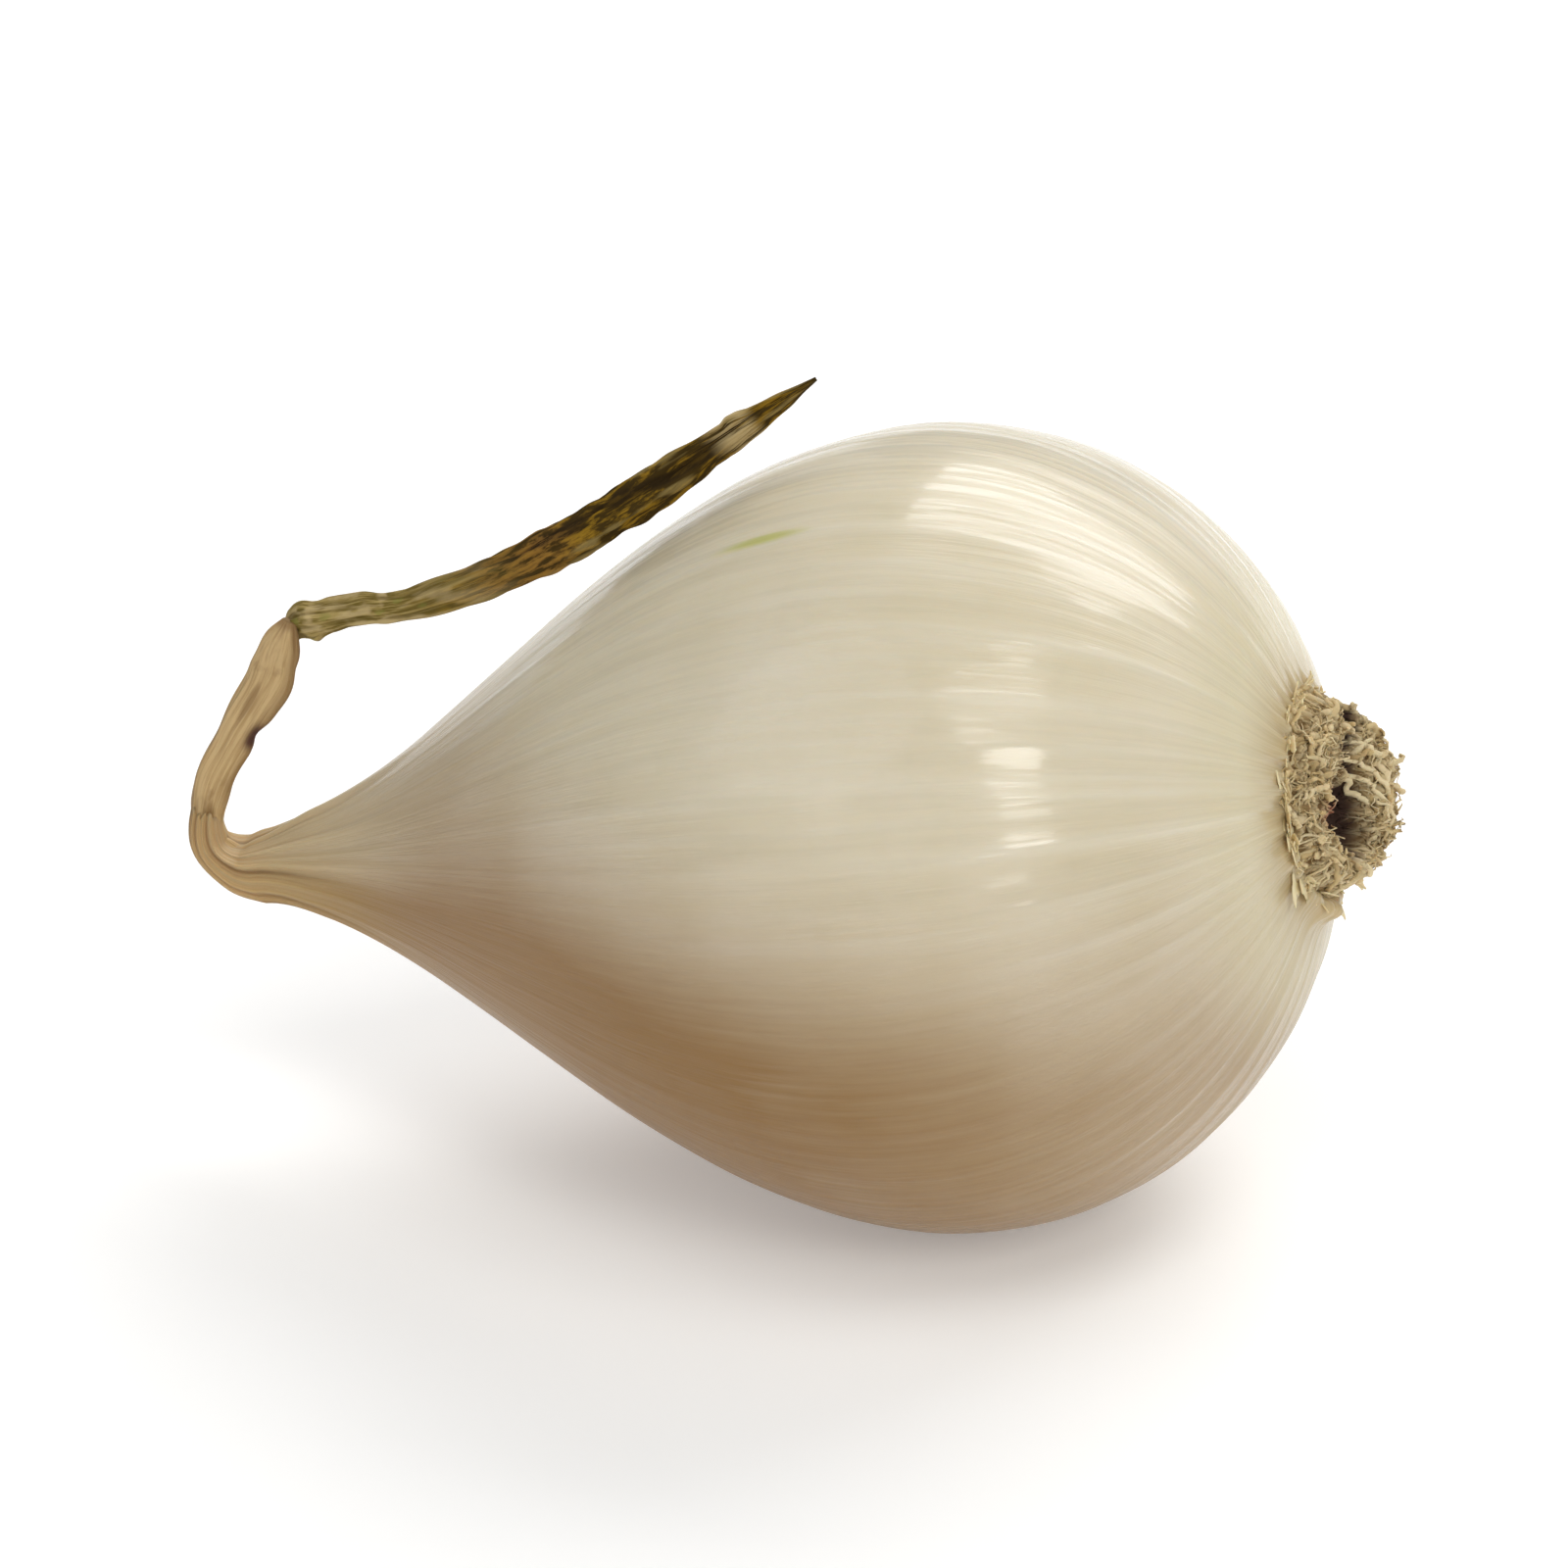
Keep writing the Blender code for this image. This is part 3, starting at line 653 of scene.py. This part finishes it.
leaf_skin = Finish("withered_leaf", specular_ior_level=0.1)
across = leaf_skin.attribute("grain", "Vector")
along = leaf_skin.component(across, "Z")
fibres = leaf_skin.noise(across, (4, 4, 9), 4.0, 0.65)
flecks = leaf_skin.noise(across, (3.2, 3.2, 26), 4.0, 0.65)
patches = leaf_skin.noise(across, (0.9, 0.9, 15), 2.0)
folds = leaf_skin.attribute("relief")
stem = leaf_skin.mix(fibres.between(0.38, 0.60), OLIVE_BROWN, KHAKI)
stem = leaf_skin.mix(patches.between(0.48, 0.62) * 0.75, stem, STEM_TAN)
stem = leaf_skin.mix(folds.between(-0.01, -0.12) * 0.6, stem, OLIVE_BROWN)
stem = leaf_skin.mix(patches.between(0.42, 0.34) * 0.5, stem, MOSS_GREEN)
blade = leaf_skin.mix(flecks.between(0.46, 0.62), BLADE_DARK, BLADE_GOLD)
blade = leaf_skin.mix(folds.between(0.03, 0.14) * 0.5, blade, KHAKI)
# Painted shade in the open groove of the roll.
blade = leaf_skin.mix(leaf_skin.attribute("roll").between(0.35, 0.8) * 0.8, blade, ROLL_SHADE)
rusty = along.between(0.48, 0.54) * along.between(0.68, 0.60)
blade = leaf_skin.mix(rusty * flecks.between(0.42, 0.56) * 0.6, blade, RUST)
torn = along.between(0.84, 0.87) * along.between(0.91, 0.89)
blade = leaf_skin.mix(torn * fibres.between(0.42, 0.54) * 0.9, blade, STEM_TAN)
colour = leaf_skin.mix(along.between(0.40, 0.60), stem, blade)
colour = leaf_skin.mix(along.between(0.95, 1.0) * 0.7, colour, BLADE_DARK)
leaf_skin.set(Base_Color=colour, Roughness=0.55 + 0.35 * fibres)
leaf_skin.bump(fibres + flecks, 0.00008)
show_piece("leaf_blade", leaf_mesh, leaf_skin.material, "withered_leaf")

# Basal plate
# The corky disc that the roots grow from, set in the root dish. It is near black in the middle of the
# tuft, cracked and pitted.
PLATE_RADIUS = 2.3
PLATE_BACK = 10.15
PLATE_FRONT = 10.72
PLATE_SIDES = 96


def round_axis(x, radius, angle):
    """Points at an angle round the bulb's middle line, from +Y up over the top."""
    y = radius * np.cos(angle)
    z = radius * np.sin(angle) + axis_height(x)
    return np.stack(np.broadcast_arrays(x, y, z), axis=-1)


plate_angle = np.linspace(0, 2 * pi, PLATE_SIDES, endpoint=False)[None, :]
edge_turn = np.linspace(-0.5 * pi, 0.5 * pi, 9)[:, None]
back_rings = np.linspace(0.2, 0.9, 5)[:, None]
front_rings = np.linspace(0.9, 0.06, 20)[:, None]
plate_share = np.concatenate([back_rings, 0.92 + 0.08 * np.cos(edge_turn), front_rings])
plate_depth = np.concatenate([0 * back_rings, 0.5 + 0.5 * np.sin(edge_turn), 1 + 0 * front_rings])
crumble = ripples(plate_angle, 9 * plate_share, (3, 5, 8, 12, 17, 23), 12, 1.2)
plate_radius = PLATE_RADIUS * plate_share * (1 + 0.03 * np.cos(9 * plate_angle) + 0.01 * crumble)
boss = 0.3 * ease(0.5, 0.2, plate_share) * plate_depth
plate_x = PLATE_BACK + (PLATE_FRONT - PLATE_BACK) * plate_depth + boss + 0.09 * crumble * plate_depth
plate_grid = lay_down(round_axis(plate_x, plate_radius, plate_angle))
plate_mesh = closed_mesh("basal_cork", plate_grid, plate_grid[[0, -1]].mean(axis=1))

CORK_BLACK = (0.022, 0.012, 0.005)
CORK_BROWN = (0.10, 0.045, 0.015)
CORK_RED = (0.17, 0.045, 0.015)

dark_cork = Finish("dark_cork")
object_place = dark_cork.object_place()
crumbs = dark_cork.noise(object_place, (2600, 2600, 2600), 4.0, 0.7)
patches = dark_cork.noise(object_place, (900, 900, 900), 2.0)
colour = dark_cork.mix(crumbs.between(0.42, 0.66), CORK_BLACK, CORK_BROWN)
colour = dark_cork.mix(patches.between(0.58, 0.68) * 0.6, colour, CORK_RED)
dark_cork.set(Base_Color=colour, Roughness=0.8 + 0.2 * crumbs)
dark_cork.bump(crumbs, 0.00015)
show_piece("basal_cork", plate_mesh, dark_cork.material, "basal_plate")

# Dried roots
# What is left of the roots: short stubs and flat shreds, dried to a matted cream-tan ring that is worn
# low on one side. They grow out of the basal plate's edge, round a hollow with a split above it, both painted
# dark as shade.
MAT_EDGE = 3.1
MAT_BASE = 10.8
MAT_TOP = 1.25
MAT_ROWS = 84
MAT_SIDES = 280
ROOT_REACH = 3.15
WORN_SIDE = radians(151)
WORN_DROP = 0.72
HOLLOW_CENTRE = -0.75
HOLLOW_SIZES = (0.85, 1.0)


def across_mat(y, z):
    """A place in the root disc's plane by how far it lies towards the worn side, and at right angles,
    both bent by slow waves so that what is drawn with them comes out crooked."""
    near = y * cos(WORN_SIDE) + z * sin(WORN_SIDE)
    high = y * sin(WORN_SIDE) - z * cos(WORN_SIDE)
    bent_near = near + 0.16 * np.sin(3.4 * high + 1) + 0.06 * np.sin(11 * high)
    bent_high = high + 0.16 * np.sin(4.6 * near + 2)
    return bent_near, bent_high


def in_hollow(y, z):
    """1 in the middle of the hollow and 0 outside it, with a steep edge."""
    near, high = across_mat(y, z)
    return np.exp(-((near / HOLLOW_SIZES[0]) ** 2 + ((high - HOLLOW_CENTRE) / HOLLOW_SIZES[1]) ** 2) ** 2)


def in_split(y, z):
    """1 along the narrow split that runs from the hollow to the ring's edge, and 0 off it."""
    near, high = across_mat(y, z)
    crooked = near + 0.3 + 0.12 * np.sin(4 * high)
    return ease(-0.4, 0.5, high) * ease(3.1, 2.2, high) * np.exp(-(crooked / 0.24) ** 2)


def painted_hollow_shade(y, z):
    """How much painted shade a place gets: 1 in the hollow, 0.8 in the split and 0 elsewhere."""
    return np.maximum(in_hollow(y, z), 0.8 * in_split(y, z))


def in_blush(y, z):
    """1 in the middle of the reddish patch on the hollow's near edge, fading out round it."""
    near, high = across_mat(y, z)
    return np.exp(-((near - 0.95) / 0.28) ** 2 - ((high + 0.45) / 0.38) ** 2)


def packed(y, z):
    """Packed fibres as relief: folded sines of ever smaller pitch, each bent by those before it."""
    draw = np.random.default_rng(31)
    total = 0.0
    for pitch in (1.1, 0.75, 0.5, 0.36, 0.26):
        way, phase = draw.uniform(0, 2 * pi, 2)
        wave = np.sin(2 * pi * (y * cos(way) + z * sin(way)) / pitch + phase + 1.8 * total)
        total = total + pitch * (1 - 2 * np.abs(wave))
    return total / 3


def mat_height(y, z):
    """How far along the axis the mat reaches over a place in the root disc's plane."""
    near, high = across_mat(y, z)
    ring = ease(MAT_EDGE, 2.35, np.hypot(y, z))
    top = MAT_TOP - WORN_DROP * np.clip(near / 2.3, -1, 1)
    open_share = np.maximum(in_hollow(y, z), 0.7 * in_split(y, z))
    return MAT_BASE + ring * (top * (1 - open_share) + 0.22 * packed(y, z) - 0.35 * in_hollow(y, z))


mat_angle = np.linspace(0, 2 * pi, MAT_SIDES, endpoint=False)[None, :]
mat_radius = np.concatenate([np.linspace(0.03, MAT_EDGE, MAT_ROWS), np.linspace(2.9, 0.3, 4)])[:, None]
mat_y = mat_radius * np.cos(mat_angle)
mat_z = mat_radius * np.sin(mat_angle)
mat_x = mat_height(mat_y, mat_z)
mat_x[MAT_ROWS:] = MAT_BASE - 0.45
mat_grid = lay_down(np.stack([mat_x, mat_y, mat_z + axis_height(mat_x)], axis=-1))
mat_mesh = closed_mesh(
    "root_mat", mat_grid, mat_grid[[0, -1]].mean(axis=1), shade=0.5 + 0 * mat_y,
    depth=ease(0.25, -0.25, packed(mat_y, mat_z)), hollow=painted_hollow_shade(mat_y, mat_z), blush=in_blush(mat_y, mat_z))


def lines_on_mat(draw, count, rows, length, lift, spread):
    """Centre lines of roots that lie on the mat, [line, row, 3]: each sets out from a place of its own,
    heads outwards within the spread, bends as it goes, and lifts off towards its end. Length and lift
    are pairs of limits. With them come the values for the roots' colour."""
    u = np.linspace(0, 1, rows)[None, :]

    def drawn(low, high):
        return draw.uniform(low, high, (count, 1))

    start_radius = np.sqrt(drawn(0.6, 8.2))
    start_turn = drawn(0, 2 * pi)
    heading = start_turn + drawn(-spread, spread) + drawn(-2.0, 2.0) * u
    heading = heading + 0.5 * np.sin(drawn(4, 12) * u + drawn(0, 6))
    step = drawn(*length) / rows
    y = start_radius * np.cos(start_turn) + np.cumsum(np.cos(heading), axis=1) * step
    z = start_radius * np.sin(start_turn) + np.cumsum(np.sin(heading), axis=1) * step
    inward = np.minimum(ROOT_REACH / np.hypot(y, z), 1)
    y = y * inward
    z = z * inward
    lifted = drawn(*lift) * u ** 1.5
    x = mat_height(y, z) + lifted - 0.02
    values = {
        "shade": np.broadcast_to(drawn(0, 1), x.shape),
        "depth": np.exp(-(lifted + 0.04) / 0.09),
        "hollow": painted_hollow_shade(y, z),
        "blush": in_blush(y, z),
    }
    return np.stack([x, y, z + axis_height(x)], axis=-1), values


def strips(lines, half_width, half_thickness, wide_way, sides):
    """Strips along centre lines, [line, row, side, 3]: rings square to each line, wide along wide_way."""
    along = np.gradient(lines, axis=1)
    along /= np.linalg.norm(along, axis=-1, keepdims=True) + 1e-9
    side = wide_way - np.sum(wide_way * along, axis=-1, keepdims=True) * along
    side /= np.linalg.norm(side, axis=-1, keepdims=True) + 1e-9
    up = np.cross(along, side)
    angle = np.linspace(0, 2 * pi, sides, endpoint=False)
    wide = half_width[..., None] * np.cos(angle)
    thin = half_thickness[..., None] * np.sin(angle)
    return lines[:, :, None] + wide[..., None] * side[:, :, None] + thin[..., None] * up[:, :, None]


def strip_mesh(name, groups):
    """One mesh of many closed strips: each strip's rings are joined by quads and its two ends capped.
    groups holds pairs of rings and values, the values being attributes with one number for each ring."""
    points = []
    faces = []
    layers = {}
    offset = 0
    for rings, values in groups:
        count, rows, sides = rings.shape[:3]
        place = offset + np.arange(count * rows * sides).reshape(count, rows, sides)
        beside = np.roll(place, -1, axis=2)
        quads = np.stack([beside[:, :-1], place[:, :-1], place[:, 1:], beside[:, 1:]], axis=-1)
        faces += quads.reshape(-1, 4).tolist() + place[:, 0].tolist() + place[:, -1, ::-1].tolist()
        points.append(rings.reshape(-1, 3))
        for key, value in values.items():
            layers.setdefault(key, []).append(np.repeat(value.ravel(), sides))
        offset += count * rows * sides
    mesh = bpy.data.meshes.new(name)
    mesh.from_pydata(np.concatenate(points).tolist(), [], faces)
    for key, parts in layers.items():
        layer = mesh.attributes.new(key, "FLOAT", "POINT")
        layer.data.foreach_set("value", np.concatenate(parts))
    mesh.shade_smooth()
    return mesh


draw = np.random.default_rng(41)

# Stubs: short, thick and blunt
STUB_COUNT = 260
STUB_ROWS = 12
STUB_SIDES = 7
stub_lines, stub_values = lines_on_mat(draw, STUB_COUNT, STUB_ROWS, (0.5, 1.3), (0.05, 0.45), 1.6)
share = np.linspace(0, 1, STUB_ROWS)[None, :]
stub_size = draw.uniform(0.06, 0.15, (STUB_COUNT, 1)) * (1 - 0.35 * share ** 2)
stub_size = stub_size * (1 + 0.2 * np.sin(draw.uniform(9, 24, (STUB_COUNT, 1)) * share))
stub_flatness = draw.uniform(0.4, 0.9, (STUB_COUNT, 1))
stub_wide_way = draw.normal(size=(STUB_COUNT, 1, 3))
stub_rings = strips(stub_lines, stub_size, stub_size * stub_flatness, stub_wide_way, STUB_SIDES)

# Hairs: thin and longer, most of them pressed flat
HAIR_COUNT = 420
HAIR_ROWS = 16
HAIR_SIDES = 5
hair_lines, hair_values = lines_on_mat(draw, HAIR_COUNT, HAIR_ROWS, (0.7, 2.1), (0.02, 0.4), 2.6)
share = np.linspace(0, 1, HAIR_ROWS)[None, :]
hair_size = draw.uniform(0.025, 0.06, (HAIR_COUNT, 1)) * (1.1 - 0.8 * share ** 2)
hair_wide_way = draw.normal(size=(HAIR_COUNT, 1, 3))
hair_rings = strips(hair_lines, hair_size, hair_size, hair_wide_way, HAIR_SIDES)

# Strands: a few thick pale ones that curl round the hollow's far edge
STRAND_COUNT = 4
STRAND_ROWS = 20
STRAND_SIDES = 9
share = np.linspace(0, 1, STRAND_ROWS)[None, :]
strand_phase = draw.uniform(0, 6, (STRAND_COUNT, 1))
strand_ring = np.linspace(1.2, 2.1, STRAND_COUNT)[:, None] + 0.12 * np.sin(5 * share + strand_phase)
strand_turn = draw.uniform(-0.5, 0.3, (STRAND_COUNT, 1)) + draw.uniform(0.9, 1.8, (STRAND_COUNT, 1)) * share
strand_near = -strand_ring * np.sin(strand_turn)
strand_high = HOLLOW_CENTRE + strand_ring * np.cos(strand_turn)
strand_y = strand_near * cos(WORN_SIDE) + strand_high * sin(WORN_SIDE)
strand_z = strand_near * sin(WORN_SIDE) - strand_high * cos(WORN_SIDE)
strand_x = mat_height(strand_y, strand_z) + 0.06 + 0.16 * np.sin(pi * share)
strand_lines = np.stack([strand_x, strand_y, strand_z + axis_height(strand_x)], axis=-1)
strand_size = draw.uniform(0.07, 0.12, (STRAND_COUNT, 1)) * (1 - 0.6 * (2 * share - 1) ** 4)
strand_wide_way = np.array([1.0, 0.3, 0.2])
strand_rings = strips(strand_lines, strand_size, 0.7 * strand_size, strand_wide_way, STRAND_SIDES)
none = 0 * strand_x
strand_values = {"shade": 0.1 + none, "depth": none, "hollow": none, "blush": none}

root_mesh = strip_mesh("root_tangle", [
    (lay_down(stub_rings), stub_values),
    (lay_down(hair_rings), hair_values),
    (lay_down(strand_rings), strand_values),
])

ROOT_CREAM = (0.82, 0.70, 0.45)
ROOT_TAN = (0.50, 0.34, 0.12)
ROOT_SHADOW = (0.13, 0.065, 0.009)
HOLLOW_SHADE = (0.035, 0.012, 0.004)
BLUSH_RED = (0.34, 0.085, 0.05)

dried_root = Finish("dried_root", subsurface_weight=0.05, subsurface_scale=0.0004)
object_place = dried_root.object_place()
specks = dried_root.noise(object_place, (2200, 2200, 2200), 3.0, 0.6)
colour = dried_root.mix(dried_root.attribute("shade") * 0.6 + 0.4 * specks, ROOT_CREAM, ROOT_TAN)
colour = dried_root.mix(dried_root.attribute("depth") * 0.9, colour, ROOT_SHADOW)
colour = dried_root.mix(specks.between(0.54, 0.66) * 0.65, colour, ROOT_SHADOW)
# Painted shade: the roots in the hollow and the split turn near black.
colour = dried_root.mix(dried_root.attribute("hollow").between(0.0, 0.35), colour, HOLLOW_SHADE)
colour = dried_root.mix(dried_root.attribute("blush") * 0.8, colour, BLUSH_RED)
dried_root.set(Base_Color=colour, Roughness=0.7 + 0.25 * specks)
dried_root.bump(specks, 0.00008)
show_piece("root_tangle", root_mesh, dried_root.material, "dried_roots")
show_piece("root_mat", mat_mesh, dried_root.material)

# Torn fringe
# The ragged edge of the outer skin round the roots: papery flakes, still cream-coloured, that lie back
# on the skin or curl up against the roots. They are broader on the underside.
SMALL_FLAKES = 70
BROAD_FLAKES = 16
FLAKE_ROWS = 14
FLAKE_SIDES = 10
FLAKE_HALF_THICKNESS = 0.025
FLAKE_ROOT_RADIUS = 2.85
FLAKE_ROOT_X = 10.9


def flakes(draw, count, start, length, width, lean):
    """Flakes from the dish's rim, each turned from upright towards the skin by a lean from 0 to 1."""
    share = np.linspace(0, 1, FLAKE_ROWS)[None, :]

    def drawn(low, high):
        return draw.uniform(low, high, (count, 1))

    long = drawn(*length)
    back = drawn(*lean)
    radius = FLAKE_ROOT_RADIUS + long * back * share
    on_skin = ROOT_END_DEPTH * np.sqrt(1 - (radius / BELLY_RADIUS) ** 2) + 0.03 + drawn(0, 0.25) * share ** 2
    x = np.maximum(FLAKE_ROOT_X + long * (1 - back) * share, on_skin)
    turn = start + (drawn(-0.5, 0.5) * share + 0.12 * np.sin(drawn(3, 9) * share)) / radius
    lines = round_axis(x, radius, turn)
    around = np.stack([0 * turn, -np.sin(turn), np.cos(turn)], axis=-1)
    ragged = 1 + 0.22 * np.sin(drawn(9, 26) * share) + 0.12 * np.sin(drawn(30, 60) * share)
    half_width = drawn(*width) * (1 - 0.9 * share ** 3) * ragged
    half_thickness = np.full_like(half_width, FLAKE_HALF_THICKNESS)
    rings = strips(lines, half_width, half_thickness, around, FLAKE_SIDES)
    return lay_down(rings), {"shade": np.broadcast_to(drawn(0, 1), x.shape)}


even_starts = 2 * pi * np.arange(SMALL_FLAKES)[:, None] / SMALL_FLAKES
small_starts = even_starts + draw.uniform(-0.1, 0.1, (SMALL_FLAKES, 1))
broad_starts = SHRED_ANGLE + np.linspace(-1.3, 1.3, BROAD_FLAKES)[:, None]
fringe_mesh = strip_mesh("torn_fringe", [
    flakes(draw, SMALL_FLAKES, small_starts, (0.4, 1.0), (0.08, 0.24), (0.2, 0.95)),
    flakes(draw, BROAD_FLAKES, broad_starts, (0.8, 1.8), (0.22, 0.42), (0.5, 1.0)),
])

FLAKE_CREAM = (0.86, 0.76, 0.50)
FLAKE_TAN = (0.62, 0.46, 0.20)

flake_skin = Finish("flake_skin", subsurface_weight=0.1, subsurface_scale=0.0005)
object_place = flake_skin.object_place()
specks = flake_skin.noise(object_place, (1500, 1500, 1500), 3.0, 0.6)
colour = flake_skin.mix(flake_skin.attribute("shade") * 0.5 + 0.5 * specks, FLAKE_CREAM, FLAKE_TAN)
flake_skin.set(Base_Color=colour, Roughness=0.5 + 0.3 * specks)
flake_skin.bump(specks, 0.00005)
show_piece("torn_fringe", fringe_mesh, flake_skin.material)

# Floor and light
# A plain pale floor and five soft lights. The key light makes the highlight on the belly, the high light
# the long one above it, and the low light the gleams towards the roots. The fill light opens the shade on
# the neck's side, and the back light rims the bulb.
FLOOR_REACH = 2.0
FLOOR_LEVEL = -0.00002
LIGHT_DISTANCE = 0.5
floor_corners = [
    (-FLOOR_REACH, -FLOOR_REACH, FLOOR_LEVEL),
    (FLOOR_REACH, -FLOOR_REACH, FLOOR_LEVEL),
    (FLOOR_REACH, FLOOR_REACH, FLOOR_LEVEL),
    (-FLOOR_REACH, FLOOR_REACH, FLOOR_LEVEL),
]
floor_data = bpy.data.meshes.new("floor")
floor_data.from_pydata(floor_corners, [], [(0, 1, 2, 3)])
floor_paint = Finish("floor_paint", roughness=0.8, emission_strength=0.25)
floor_place = floor_paint.object_place()
mottle = floor_paint.noise(floor_place, (40, 40, 40), 2.0)
floor_paint.set(Base_Color=floor_paint.mix(mottle, (0.84, 0.84, 0.83), (0.87, 0.87, 0.86)))
floor_data.materials.append(floor_paint.material)
floor = bpy.data.objects.new("floor", floor_data)
bpy.context.scene.collection.objects.link(floor)


def softbox(name, azimuth, elevation, width, height, power, colour):
    """A flat area light half a metre from the bulb, facing it. The camera looks through it."""
    light = bpy.data.lights.new(name, "AREA")
    light.shape = "RECTANGLE"
    light.size = width
    light.size_y = height
    light.energy = power
    light.color = colour
    lamp = bpy.data.objects.new(name, light)
    direction = seen_from(radians(azimuth), radians(elevation))
    lamp.location = middle + direction * LIGHT_DISTANCE
    lamp.rotation_euler = direction.to_track_quat("Z", "Y").to_euler()
    lamp.visible_camera = False
    bpy.context.scene.collection.objects.link(lamp)


softbox("key_light", 44, 36, 0.14, 0.17, 0.55, (1.0, 0.98, 0.94))
softbox("high_light", 51, 63, 0.24, 0.18, 0.54, (1.0, 0.98, 0.95))
softbox("low_light", 34, 14, 0.12, 0.05, 0.11, (1.0, 0.98, 0.95))
softbox("fill_light", -48, 48, 0.50, 0.50, 0.71, (1.0, 1.0, 1.0))
softbox("back_light", 165, 42, 0.50, 0.30, 1.75, (1.0, 1.0, 1.0))

world = bpy.data.worlds.new("pale_room")
world.use_nodes = True
world.node_tree.nodes["Background"].inputs["Color"].default_value = (0.92, 0.95, 1.0, 1.0)
world.node_tree.nodes["Background"].inputs["Strength"].default_value = 0.22
bpy.context.scene.world = world
bpy.context.scene.view_settings.view_transform = "Standard"
